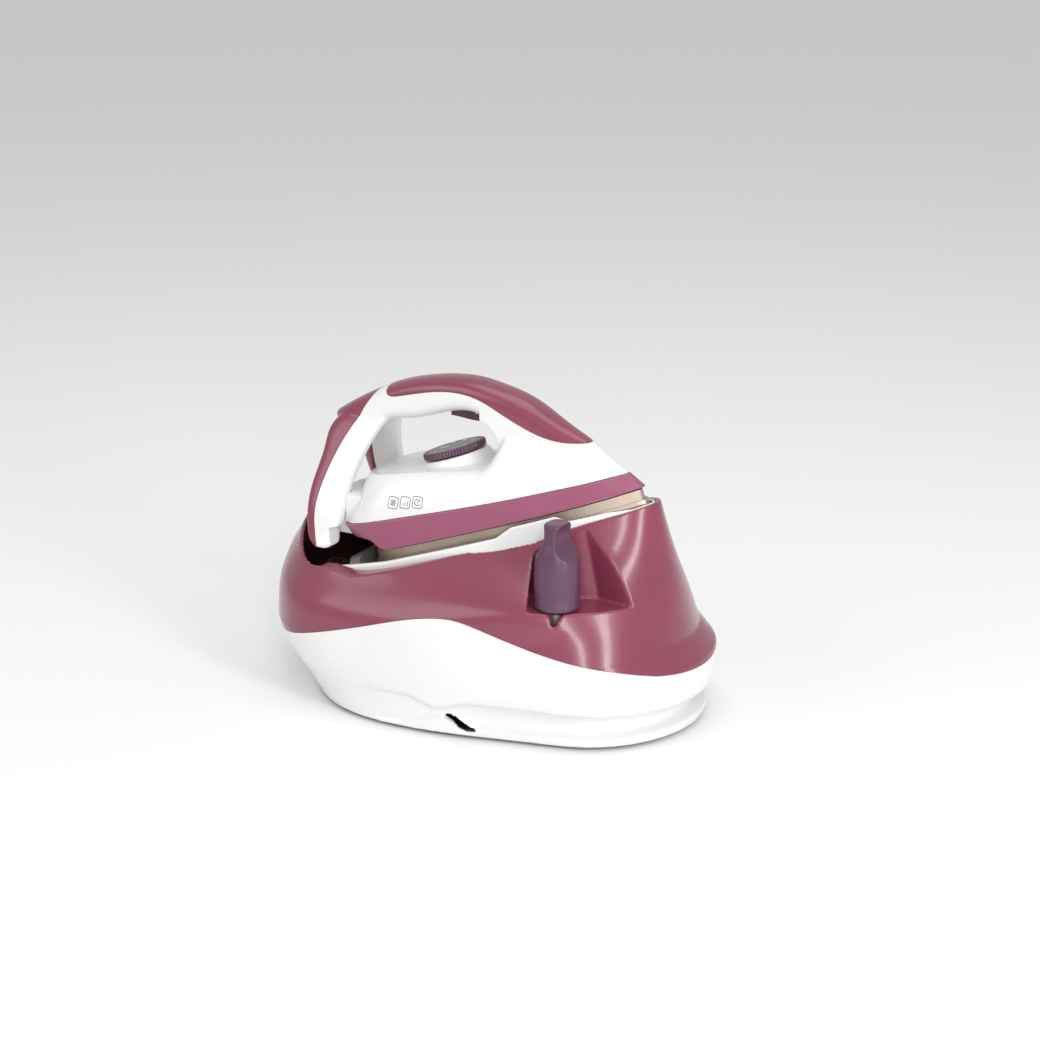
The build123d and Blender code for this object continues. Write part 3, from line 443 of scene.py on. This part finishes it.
# Height of the lip over the rest, along X, with the guard on each side of the iron's waist.
LIP_HEIGHT = [(-130, 13.5), (-100, 13), (-78, 11), (-55, 8.9), (34, 8.6), (47, 13.9), (79, 14), (88, 8.2),
              (112, 7), (128, 4.2), (142, 4)]
LIP_REAR = -112.0                           # the lip ends at the well
LIP_FOOT = FRAME_SEAT + 0.2
# Section of the lip: how far from its outer to its inner edge, and how far under its top.
LIP_SECTION = [(0, 1.6), (0.12, 0.5), (0.3, 0), (0.68, 0), (0.88, 0.5), (1, 1.8)]


def build_rest_frame():
    """The white lip around the rest, from one rear end round the nose to the other."""
    outer, inner = outline(FRAME_OUTER, 30), outline(LIP_INNER, 30)
    half = len(outer) // 2
    rings = []
    for k in range(-half, half + 1):
        edge, across = outer[k], inner[k] - outer[k]
        if min(outer[k][0], inner[k][0]) <= LIP_REAR:
            continue
        top = graph(LIP_HEIGHT, edge[0])
        section = [(0, LIP_FOOT)] + [(t, top - drop) for t, drop in LIP_SECTION] + [(1, LIP_FOOT)]
        rings.append(np.array([iron_point(*(edge + t * across), w) for t, w in section]))
    lip = fuse("rest_frame_skin", [loft("lip", rings)], BAND_VOXEL, rounds=5)
    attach(lip, "base")
    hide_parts("rest_frame")
    return lip


# ---------------------------------------------------------------- iron: outer form
# The white body's half outlines, in the iron's axes, from the skirt up to the ridge.
BODY_LOW = [(124, 0), (117, 7), (100, 19.5), (75, 30.5), (45, 41.5), (0, 50.5), (-50, 55.5), (-84, 52),
            (-97, 35), (-101, 0)]
BODY_MID = [(102, 0), (97, 6), (88, 13), (66, 22), (40, 32), (0, 43), (-45, 49), (-74, 45), (-86, 30),
            (-90, 0)]
BODY_TOP = [(80, 0), (75, 4), (65, 8), (52, 14), (30, 20), (0, 31), (-40, 38), (-64, 34), (-74, 22), (-78, 0)]
SEAM_HEIGHT, SEAM_SLOPE = 34.5, 0.0524      # the white body starts at this height in the iron's axes
BODY_HEIGHTS = [SEAM_HEIGHT, 54.0, 74.0]
DECK_HEIGHT, DECK_SLOPE, DECK_SOFTNESS = 180.5, 0.1405, 6.0     # the flat deck under the handle
DECK_FRONT, DECK_RUN = 4.0, 16.0            # where the deck runs out into the pillar, and over how far
# Side views of the handle: its top, the edge between burgundy and white, the underside of the bar, and the
# front of the opening.
TOP_LINE = [(-131, 202.5), (-115, 212.5), (-93, 224), (-79, 230), (-58, 236), (-37, 239.5), (-12, 240),
            (5, 237), (21, 233), (38, 226), (54, 217), (70, 209), (80, 204), (94, 194), (108, 184),
            (113, 179)]
GRIP_LINE = [(-83, 240), (-84.5, 231), (-84, 225.5), (-81.5, 222.4), (-76, 221.8), (-70, 223), (-54, 227),
             (-29, 231), (-4, 228), (12, 221), (29, 213), (45, 207), (62, 204), (80, 204), (90, 204)]
HANDLE_FOOT = [(-134, 196), (-120, 194), (-106, 193), (-96, 192), (-89, 197), (-78, 201.5), (-63, 204),
               (-45, 209), (-28, 214), (-13, 215), (-3, 212), (6, 206), (14, 200)]
OPENING_FRONT = [(-40, 211), (-28, 214), (-13, 215), (-3, 212), (6, 206), (11, 197), (11, 189), (6, 179)]
# Half width of the handle along X.
HANDLE_PLAN = [(-134, 4), (-129, 9.5), (-120, 14), (-106, 16.4), (-90, 16.5), (0, 16.5), (40, 15), (66, 12),
               (85, 8), (100, 4), (112, 1)]
HANDLE_SQUARENESS = 2.4                     # 2 is an ellipse
CROWN = 12.5                                # height of the handle's rounded crown
PILLAR_FOOT = 160.0
# The legs of the forked heel, from the rest up to the bar: height, front edge, rear edge, and distance from
# the middle.
LEG = [(112, -107, -119, 57), (114.5, -104, -123, 56), (120, -102, -127, 53.5), (132, -102, -130.5, 49),
       (155, -101, -132, 38), (180, -95, -129.5, 24), (203, -84, -121.5, 9), (209, -80, -112, 4)]
LEG_WIDTH, LEG_SQUARENESS = 15.0, 4.0
# Side view of the edge between the rear cover and the white shell.
REAR_BORDER = [(-88, 245), (-90, 232), (-93, 224), (-99, 214), (-106, 202), (-115, 182), (-121.5, 158),
               (-123, 138), (-119.5, 122), (-116, 112), (-114, 96)]
DIAL_U, DIAL_W, DIAL_RADIUS = -12.0, 68.0, 24.0     # the dial's place in the iron's axes
# The dial's raised seat: depth under the dial, and how far it reaches beyond it.
COLLAR = [(18, 10), (7, 4), (0.8, 0.8)]
TRIGGER_ROOM = (-34.5, -3.5, -7.6, 7.6, 207.0, 223.6)


def under_deck(ring):
    """Brings a ring down to the deck under the handle, with a soft shoulder, but not ahead of the opening."""
    x, y, z = ring.T
    deck = DECK_HEIGHT + DECK_SLOPE * x
    low = -DECK_SOFTNESS * np.logaddexp(-z / DECK_SOFTNESS, -deck / DECK_SOFTNESS)
    return np.stack([x, y, low + (z - low) * ease((x - DECK_FRONT) / DECK_RUN)], axis=1)


def body_form():
    """The white body, domed from the seam over the skirt to the ridge, with a flat deck under the handle."""
    halves, slopes = (BODY_LOW, BODY_MID, BODY_TOP), (SEAM_SLOPE, 0, 0)
    levels = [iron_ring(outline(half), w, slope) for half, w, slope in zip(halves, BODY_HEIGHTS, slopes)]
    at = np.linspace(BODY_HEIGHTS[0], BODY_HEIGHTS[-1], 28)
    rings = list(spline_values(BODY_HEIGHTS, np.array(levels), at))
    skirtward = rings[0] - 5 * (rings[1] - rings[0])
    return loft("body_form", [skirtward] + [under_deck(r) for r in rings])


def handle_section(x, top, foot, half_width, squareness, count=40, crown=math.inf):
    """A rounded section, square to X: straight flanks between two crowns of limited height."""
    crown = min(crown, (top - foot) / 2)
    points = []
    for k in range(count):
        angle = 2 * math.pi * k / count
        c, s = math.cos(angle), math.sin(angle)
        middle = top - crown if s >= 0 else foot + crown
        points.append((x, half_width * math.copysign(abs(c) ** (2 / squareness), c),
                       middle + crown * math.copysign(abs(s) ** (2 / squareness), s)))
    return np.array(points)


def handle_forms():
    """The bar over the fingers, and the front pillar that runs down into the body's ridge."""
    top, bar_foot, plan = through(TOP_LINE, 12), through(HANDLE_FOOT, 12), through(HANDLE_PLAN, 12)

    def swept(name, places, foot):
        return loft(name, [handle_section(x, graph(top, x), foot(x), graph(plan, x), HANDLE_SQUARENESS,
                                          crown=CROWN) for x in places])

    bar = swept("handle_bar", np.linspace(-131, 14, 96), lambda x: graph(bar_foot, x))
    pillar = swept("handle_pillar", np.linspace(-4, 111, 80), lambda x: PILLAR_FOOT)
    cut(pillar, [prism("opening_cut", smooth(OPENING_FRONT, 8) + [(-40, 170)], -40, 40)])
    return [bar, pillar]


def leg_form(side):
    """One leg of the forked heel, from the handle's end down to the rest."""
    heights = [z for z, _, _, _ in LEG]
    at = np.linspace(heights[0], heights[-1], 40)
    rings = []
    for z, (front, rear, spread) in zip(at, spline_values(heights, np.array(LEG)[:, 1:], at)):
        ring = handle_section(0, LEG_WIDTH / 2, -LEG_WIDTH / 2, (front - rear) / 2, LEG_SQUARENESS, 32)
        rings.append(np.stack([(front + rear) / 2 + ring[:, 1], side * spread + ring[:, 2],
                               np.full(len(ring), z)], axis=1))
    return loft("leg_form", rings)


def collar_form():
    """The raised seat of the temperature dial, cut off by the deck."""
    return loft("collar_form", [iron_circle(DIAL_U, 0, DIAL_W - depth, DIAL_RADIUS + reach)
                                for depth, reach in COLLAR])


def build_iron():
    """The iron's white shell, its grip and its rear cover, all cut from one form so that they meet flush."""
    pieces = [body_form(), collar_form(), leg_form(-1), leg_form(1)] + handle_forms()
    form = fuse("iron_form", pieces, IRON_VOXEL, rounds=12)

    def below_seam(u, v, w):
        return iron_point(u, v, SEAM_HEIGHT - SEAM_SLOPE * u + w)

    cut(form, [box("below_seam", -101, 220, -90, 90, -60, 0.2, below_seam)])
    dial_seat = loft("dial_seat", [iron_circle(DIAL_U, 0, w, DIAL_RADIUS + 0.5)
                                   for w in (DIAL_W - 0.4, DIAL_W + 12)])
    cut(form, [dial_seat, box("trigger_room", *TRIGGER_ROOM)])
    grip_tool = prism("grip_tool", smooth(GRIP_LINE, 8) + [(90, 260), (-81.5, 260)], -40, 40)
    rear_tool = prism("rear_tool", smooth(REAR_BORDER, 8) + [(-180, 96), (-180, 245)], -90, 90)
    grip = cut(copy_of(form, "top_grip_skin"), [grip_tool], "INTERSECT", keep=True)
    rear = cut(copy_of(form, "rear_cover_skin"), [rear_tool], "INTERSECT", keep=True)
    shift(grip_tool, z=-2 * PARTING)
    shift(rear_tool, x=2 * PARTING)
    cut(form, [grip_tool, rear_tool])
    form.name = "iron_shell"
    for piece, nodes, slot in ((form, ("iron_body", "handle_shell", "dial_collar"), "shell_white"),
                               (grip, ("top_grip",), "shell_burgundy"),
                               (rear, ("rear_cover",), "shell_burgundy")):
        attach(piece, "iron")
        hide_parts(*nodes)
    return form, grip, rear


# ---------------------------------------------------------------- heat skirt
# Half outlines of the skirt's lower and upper edge, in the iron's axes.
SKIRT_LOW = [(134, 0), (128.5, 9), (111, 23), (88, 35), (50, 47), (0, 56.5), (-42, 60.5), (-72, 58),
             (-88, 36), (-92, 0)]
SKIRT_TOP = [(125, 0), (118, 8), (101, 21), (76, 32), (45, 43), (0, 52), (-50, 57), (-86, 54), (-99, 36),
             (-103, 0)]
SKIRT_FOOT = 16.0
# Side view of the cut-away under the skirt's tail, in the iron's axes.
SKIRT_TAIL = [(-52, 15), (-57, 16.2), (-60.5, 18), (-63.5, 21), (-67, 24.5), (-73, 27), (-85, 29.5),
              (-100, 32.5), (-112, 35)]


def build_skirt():
    """The coloured band between the soleplate and the white body, open underneath, cut away at the tail."""
    def band(name, inset, foot, top):
        rings = [iron_ring(shrink(outline(SKIRT_LOW), inset), foot),
                 iron_ring(shrink(outline(SKIRT_TOP), inset), top, SEAM_SLOPE)]
        return loft(name, rings)

    skirt = band("heat_skirt_skin", 0.0, SKIRT_FOOT, SEAM_HEIGHT - 0.1)
    tail = iron_prism("tail_cut", smooth(SKIRT_TAIL, 6) + [(-130, 35), (-130, -10), (-52, -10)])
    cut(skirt, [band("skirt_space", WALL, SKIRT_FOOT - 1, SEAM_HEIGHT + 1), tail])
    skirt = fuse("heat_skirt_skin", [skirt], BAND_VOXEL, rounds=3)
    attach(skirt, "iron")
    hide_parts("heat_skirt")
    return skirt


# ---------------------------------------------------------------- filler cap
# The cap's turned profile: radius, and height over the origin.
CAP_PROFILE = [(16.2, 101.2), (16.6, 101.8), (16.6, 106), (16.4, 116), (16.1, 126), (15.8, 134), (15.1, 139),
               (13.9, 143.5), (12.4, 147.3), (11.2, 150.5), (10.7, 155), (10.3, 159), (10.0, 161.4),
               (9.2, 162.9), (7, 163.5)]
CAP_BORE, BORE_TOP = 10.6, 115.2
THUMB_ANGLE = math.radians(-10)             # direction from one thumb hollow to the other, from the X axis
THUMB_RADIUS, THUMB_REACH, THUMB_HEIGHT = 17.0, 21.5, 154.0


def cap_ring(radius, z, count=120):
    """A level circle round the cap's axis."""
    x, y = CAP_AXIS
    return np.array([(x + radius * math.cos(a), y + radius * math.sin(a), z) for a in turn(count)])


def build_cap():
    """The filler cap: a waisted turned body with two thumb hollows that leave a blade across its top."""
    turned = loft("cap_form", [cap_ring(r, z) for r, z in through(CAP_PROFILE, 5)])
    along = np.array([math.cos(THUMB_ANGLE), math.sin(THUMB_ANGLE), 0.0])
    across = np.array([-along[1], along[0], 0.0])
    circle = np.array([THUMB_RADIUS * (math.cos(a) * along + math.sin(a) * UP) for a in turn(96)])
    for side in (-1, 1):
        middle = np.array([*CAP_AXIS, THUMB_HEIGHT]) + side * THUMB_REACH * along
        cut(turned, [loft("thumb_hollow", [circle + middle + end * across for end in (-30, 30)])])
    cap = fuse("cap_skin", [turned], CAP_VOXEL, rounds=6)
    cut(cap, [loft("cap_bore", [cap_ring(CAP_BORE, 90), cap_ring(CAP_BORE, BORE_TOP)])])
    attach(cap, "filler_cap")
    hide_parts("filler_cap")
    return cap


# ---------------------------------------------------------------- temperature dial
DIAL_FLUTES = 60
# The dial's rim from its foot over its edge into the face: radius, height over the dial's seat, and depth of
# the flutes.
DIAL_RIM = [(22.6, 0.15, 0), (23.6, 0.35, 0.4), (24, 0.9, 0.8), (24, 3.7, 0.8), (23.7, 4.6, 0.6),
            (23.1, 5.1, 0.2), (22.4, 5.2, 0), (21.3, 5, 0), (21, 4.5, 0)]
# The recessed face, from its edge to the middle: height over the dial's seat, and radius.
DIAL_FACE = [(4.52, 20.6), (4.9, 20.6), (5.05, 20.2), (5.12, 18), (5.2, 10), (5.22, 3)]
# The dial's scale: a row of round marks that grow along it.
MARKS, MARK_RADIUS, MARK_START, MARK_STEP = 9, 16.5, -120, 30
MARK_SIZE, MARK_GROWTH, MARK_LEVELS = 0.7, 0.12, (4.8, 5.4)
POINTER, POINTER_LEVELS = ((-12, -0.8), (-4, -1.6), (-4, 1.6), (-12, 0.8)), (4.8, 5.5)


def build_dial():
    """The dial: a fluted rim with rounded edges around a recessed face, with a printed scale and pointer."""
    angles = turn(DIAL_FLUTES * 8)
    ripple = (0.5 + 0.5 * np.cos(angles * DIAL_FLUTES)) ** 2

    def fluted(radius, w, depth):
        return np.array([iron_point(DIAL_U + r * math.cos(a), r * math.sin(a), DIAL_W + w)
                         for r, a in zip(radius - depth * ripple, angles)])

    rim = loft("dial_rim", [fluted(*row) for row in DIAL_RIM])
    face = loft("dial_top", [iron_circle(DIAL_U, 0, DIAL_W + w, radius) for w, radius in DIAL_FACE])
    for piece, node, slot in ((rim, "temperature_dial", "knob_purple"), (face, "dial_face", "dial_print")):
        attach(piece, "dial")
        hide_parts(node)
    marks = []
    for step in range(MARKS):
        angle = math.radians(MARK_START + MARK_STEP * step)
        centre = (DIAL_U + MARK_RADIUS * math.cos(angle), MARK_RADIUS * math.sin(angle))
        size = MARK_SIZE + MARK_GROWTH * step
        marks.append(loft(f"dial_mark_{step + 1}", [iron_circle(*centre, DIAL_W + w, size, 20)
                                                   for w in MARK_LEVELS]))
    marks.append(loft("dial_pointer", [np.array([iron_point(DIAL_U + u, v, DIAL_W + w) for u, v in POINTER])
                                       for w in POINTER_LEVELS]))
    for mark in marks:
        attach(mark, "dial")
    return rim, face, marks


# ---------------------------------------------------------------- trigger spring
SPRING_TOP = np.array([-28.0, 0.0, 223.6])
SPRING_LENGTH, SPRING_RADIUS, SPRING_WIRE, SPRING_TURNS = 5.6, 1.75, 0.35, 4.5


def build_spring():
    """The trigger's coil spring, built at rest; the real one shortens towards its upper end as the trigger is
    pulled.
    """
    steps = int(SPRING_TURNS * 20)
    rings = []
    for k in range(steps + 1):
        angle = 2 * math.pi * SPRING_TURNS * k / steps
        out = np.array([math.cos(angle), math.sin(angle), 0.0])
        centre = SPRING_TOP + SPRING_LENGTH * (k / steps - 1) * UP + SPRING_RADIUS * out
        rings.append(np.array([centre + SPRING_WIRE * (math.cos(a) * out + math.sin(a) * UP)
                               for a in turn(8)]))
    spring = loft("trigger_coil", rings)
    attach(spring, "iron")
    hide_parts("trigger_spring")
    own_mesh(spring)
    return spring


# ---------------------------------------------------------------- materials
def srgb(red, green, blue):
    """A linear colour from its 0-255 screen values."""
    return tuple(((c / 255 + 0.055) / 1.055) ** 2.4 if c > 10 else c / 255 / 12.92
                 for c in (red, green, blue))


def plastic(name, colour, rough, coat, mottle, grain, metal=0.0, grain_size=900.0):
    """Moulded plastic or metal: slight colour drift, uneven gloss, fine grain, and a painted highlight that
    lightens sharp edges.
    """
    material = bpy.data.materials.new(name)
    material.use_nodes = True
    nodes, links = material.node_tree.nodes, material.node_tree.links
    shader = nodes["Principled BSDF"]
    shader.inputs["Metallic"].default_value = metal
    shader.inputs["Coat Weight"].default_value = coat
    shader.inputs["Coat Roughness"].default_value = 0.12
    place = nodes.new("ShaderNodeTexCoord")

    def noise(scale, detail):
        node = nodes.new("ShaderNodeTexNoise")
        node.inputs["Scale"].default_value = scale
        node.inputs["Detail"].default_value = detail
        links.new(place.outputs["Object"], node.inputs["Vector"])
        return node.outputs["Fac"]

    def remap(value, **ends):
        node = nodes.new("ShaderNodeMapRange")
        for end, level in ends.items():
            node.inputs[end.replace("_", " ").title()].default_value = level
        links.new(value, node.inputs["Value"])
        return node.outputs["Result"]

    drift = nodes.new("ShaderNodeValToRGB")
    low, high = drift.color_ramp.elements
    low.position, high.position = 0.3, 0.7
    low.color = (*[c * (1 - mottle) for c in colour], 1)
    high.color = (*[min(1.0, c * (1 + mottle)) for c in colour], 1)
    links.new(noise(18.0, 4.0), drift.inputs["Fac"])

    # Painted highlight: sharp convex edges, picked out by pointiness, are mixed up to 18 percent towards a
    # lighter copy of the colour, for the light they catch.
    pointed = nodes.new("ShaderNodeNewGeometry").outputs["Pointiness"]
    edge_highlight = nodes.new("ShaderNodeMix")
    edge_highlight.data_type = "RGBA"
    factor, plain_colour, highlight_colour = edge_highlight.inputs[0], edge_highlight.inputs[6], edge_highlight.inputs[7]
    highlight_colour.default_value = (*[min(1.0, c * 1.25 + 0.03) for c in colour], 1)
    links.new(remap(pointed, from_min=0.53, from_max=0.62, to_min=0.0, to_max=0.18), factor)
    links.new(drift.outputs["Color"], plain_colour)
    links.new(edge_highlight.outputs[2], shader.inputs["Base Color"])

    links.new(remap(noise(120.0, 3.0), to_min=rough * 0.85, to_max=rough * 1.2), shader.inputs["Roughness"])
    bump = nodes.new("ShaderNodeBump")
    bump.inputs["Strength"].default_value = grain
    bump.inputs["Distance"].default_value = 0.0004
    links.new(noise(grain_size, 2.0), bump.inputs["Height"])
    links.new(bump.outputs["Normal"], shader.inputs["Normal"])
    return material


# Slot of the record: linear colour, roughness, coat, mottle, grain, and metal where it is one.
LOOKS = {
    "shell_white": ((0.75, 0.75, 0.74), 0.22, 0.35, 0.012, 0.02),
    "shell_burgundy": (srgb(128, 54, 76), 0.26, 0.35, 0.05, 0.03),
    "skirt_rose": (srgb(146, 76, 104), 0.3, 0.2, 0.05, 0.05),
    # well_dark is painted shade: the well is the same burgundy as the shell, and this darker copy stands in
    # for the shade inside it.
    "well_dark": (srgb(58, 24, 34), 0.4, 0.1, 0.08, 0.08),
    "knob_purple": (srgb(86, 52, 74), 0.36, 0.1, 0.06, 0.12, 0.0, 1400.0),
    "dial_print": (srgb(120, 112, 116), 0.4, 0.15, 0.05, 0.05),
    "rest_grey": (srgb(122, 118, 118), 0.5, 0.0, 0.07, 0.2),
    "soft_rubber": ((0.03, 0.03, 0.033), 0.7, 0.0, 0.15, 0.25),
    "sole_metal": (srgb(176, 162, 148), 0.32, 0.1, 0.06, 0.1, 0.85),
    "cast_metal": (srgb(170, 156, 142), 0.45, 0.0, 0.08, 0.3, 0.8),
    "element_steel": (srgb(150, 146, 142), 0.35, 0.0, 0.1, 0.15, 1.0),
    "plated_brass": (srgb(196, 180, 134), 0.28, 0.0, 0.06, 0.08, 1.0),
    "coil_black": ((0.022, 0.022, 0.024), 0.45, 0.05, 0.15, 0.15),
    "board_green": (srgb(40, 110, 66), 0.35, 0.3, 0.12, 0.1),
    "screw_steel": (srgb(176, 176, 178), 0.3, 0.0, 0.06, 0.08, 1.0),
    "tube_silicone": (srgb(214, 208, 200), 0.45, 0.0, 0.05, 0.05),
    "lamp_lens": (srgb(220, 120, 70), 0.12, 0.6, 0.04, 0.02),
}
MATERIALS = {slot: plastic(slot, *look) for slot, look in LOOKS.items()}


def dress(piece, slot):
    """Gives a piece one of the materials."""
    piece.data.materials.clear()
    piece.data.materials.append(MATERIALS[slot])


def dress_cad_nodes():
    """Gives every CAD node the material of its slot in the record."""
    slot_of = {part["node"]: part["material_slot"] for part in frame["record"]["subparts"]}
    for name, node in frame["nodes"].items():
        for holder in node.material_slots:
            holder.material = MATERIALS[slot_of[name]]


# ---------------------------------------------------------------- printed marks on the iron
PRINT_PLACES = ((-56.5, 152.0), (-46.5, 153.4), (-36.5, 154.8))     # middle of each sign, in X and Z
PRINT_HALF, PRINT_CORNER, PRINT_STROKE = 4.0, 1.6, 0.45             # half size, corner radius, line width
PRINT_LIFT, PRINT_THICKNESS = 0.06, 0.1


def side_point(shell, x, z):
    """The place on the near side of a piece at x and z, lifted off the surface by PRINT_LIFT."""
    hit, place, normal, _ = shell.ray_cast(Vector((x, -200, z)) * MM, Vector((0, 1, 0)))
    return (place + normal * PRINT_LIFT * MM) / MM if hit else Vector((x, -50, z))


def sign_lines(kind):
    """The lines of a sign, round its middle, and whether each one closes: a frame with simple strokes."""
    frame_line = []
    inner = PRINT_HALF - PRINT_CORNER
    corners = ((inner, inner, 0), (-inner, inner, 90), (-inner, -inner, 180), (inner, -inner, 270))
    for cx, cz, start in corners:
        for step in range(7):
            a = math.radians(start + 15 * step)
            frame_line.append((cx + PRINT_CORNER * math.cos(a), cz + PRINT_CORNER * math.sin(a)))
    if kind == 0:       # three waves
        places = [0.25 * k for k in range(17)]
        strokes = [[(t - 2, level + 0.6 * math.sin(t * math.pi)) for t in places]
                   for level in (-1.4, 0.0, 1.4)]
    elif kind == 1:     # three bars that grow
        strokes = [[(2.2 * (k - 1), -2.0), (2.2 * (k - 1), 1.1 * k - 0.8)] for k in range(3)]
    else:               # an open ring with a hand
        strokes = [[(2.2 * math.cos(a), 2.2 * math.sin(a)) for a in np.linspace(0.5, 5.8, 22)],
                   [(0, 0), (1.5, 1.2)]]
    return [(frame_line, True)] + [(stroke, False) for stroke in strokes]


def build_print(name, shell, x, z, kind):
    """One sign, as thin raised print that follows the shell."""
    verts, faces = [], []
    for line, closed in sign_lines(kind):
        points = [np.array(p) for p in line]
        count, start = len(points), len(verts)
        for k, p in enumerate(points):
            after = points[(k + 1) % count] if closed or k < count - 1 else p + (p - points[k - 1])
            before = points[k - 1] if closed or k > 0 else p - (after - p)
            along = (after - before) / np.linalg.norm(after - before)
            side = np.array([-along[1], along[0]]) * PRINT_STROKE / 2
            for edge in (p + side, p - side):
                verts.append(side_point(shell, x + edge[0], z + edge[1]))
        for k in range(count if closed else count - 1):
            a, b = start + 2 * k, start + 2 * ((k + 1) % count)
            faces.append((a, b, b + 1, a + 1))
    mark = new_object(name, verts, faces)
    mark.modifiers.new("print", "SOLIDIFY").thickness = PRINT_THICKNESS * MM
    bake(mark)
    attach(mark, "iron")
    return mark


def build_pictograms(shell):
    """Three plain signs, printed on the near side of the iron."""
    return [build_print(f"pictogram_{kind + 1}", shell, x, z, kind)
            for kind, (x, z) in enumerate(PRINT_PLACES)]


# ---------------------------------------------------------------- stage
def build_stage():
    """A wide white floor, whose edge is out of sight."""
    bpy.ops.mesh.primitive_plane_add(size=40)
    floor = bpy.context.object
    floor.name = "floor"
    material = bpy.data.materials.new("floor")
    material.use_nodes = True
    shader = material.node_tree.nodes["Principled BSDF"]
    shader.inputs["Base Color"].default_value = (0.88, 0.88, 0.885, 1)
    shader.inputs["Roughness"].default_value = 0.6
    floor.data.materials.append(material)


def softbox(name, place, aim, width, height, power):
    """A rectangular light at a place, turned to its aim, in metres and watts."""
    data = bpy.data.lights.new(name, "AREA")
    data.shape = "RECTANGLE"
    data.size, data.size_y = width, height
    data.energy = power
    lamp = bpy.data.objects.new(name, data)
    lamp.location = place
    lamp.rotation_euler = (Vector(aim) - Vector(place)).to_track_quat("-Z", "Y").to_euler()
    bpy.context.scene.collection.objects.link(lamp)


def build_light():
    """A large light from the left, one above, two strips for the edges, and a bright surround."""
    softbox("key_left", (-1.1, -1.5, 1.3), (0, 0, 0.12), 1.2, 1.0, 7)
    softbox("top", (0.1, 0.1, 1.9), (0, 0, 0.1), 1.4, 1.4, 10)
    softbox("strip_right", (1.5, -0.7, 0.7), (0.1, 0, 0.12), 0.25, 1.3, 12)
    softbox("strip_front", (1.0, -1.5, 0.8), (0.12, 0, 0.1), 0.2, 1.3, 10)
    world = bpy.data.worlds.new("studio")
    world.use_nodes = True
    surround = world.node_tree.nodes["Background"]
    surround.inputs["Color"].default_value = (1, 1, 1, 1)
    surround.inputs["Strength"].default_value = 0.62
    bpy.context.scene.world = world
    bpy.context.scene.view_settings.view_transform = "Standard"


def build_camera():
    """A long lens looking down at the near side, a little from the nose."""
    data = bpy.data.cameras.new("camera")
    camera = bpy.data.objects.new("camera", data)
    bpy.context.scene.collection.objects.link(camera)
    target = Vector((0.016, 0.0, 0.115))
    azimuth, elevation, distance = math.radians(28), math.radians(18.5), 1.85
    level = math.cos(elevation)
    towards = Vector((math.sin(azimuth) * level, -math.cos(azimuth) * level, math.sin(elevation)))
    camera.location = target + distance * towards
    camera.rotation_euler = (target - camera.location).to_track_quat("-Z", "Y").to_euler()
    data.lens = 86.45
    data.shift_x, data.shift_y = 0.0063, 0.0248
    bpy.context.scene.camera = camera


build_camera()
build_light()
build_stage()
dress_cad_nodes()
lower, upper = build_base()
lip = build_rest_frame()
shell, grip, rear = build_iron()
skirt = build_skirt()
cap = build_cap()
rim, dial_top, dial_marks = build_dial()
prints = build_pictograms(shell)
spring = build_spring()
for slot, pieces in (("shell_white", (lower, lip, shell)), ("shell_burgundy", (upper, grip, rear)),
                     ("knob_purple", (cap, rim)), ("skirt_rose", (skirt,)), ("dial_print", (dial_top,)),
                     ("screw_steel", (spring,)), ("tube_silicone", dial_marks), ("coil_black", prints)):
    for piece in pieces:
        dress(piece, slot)
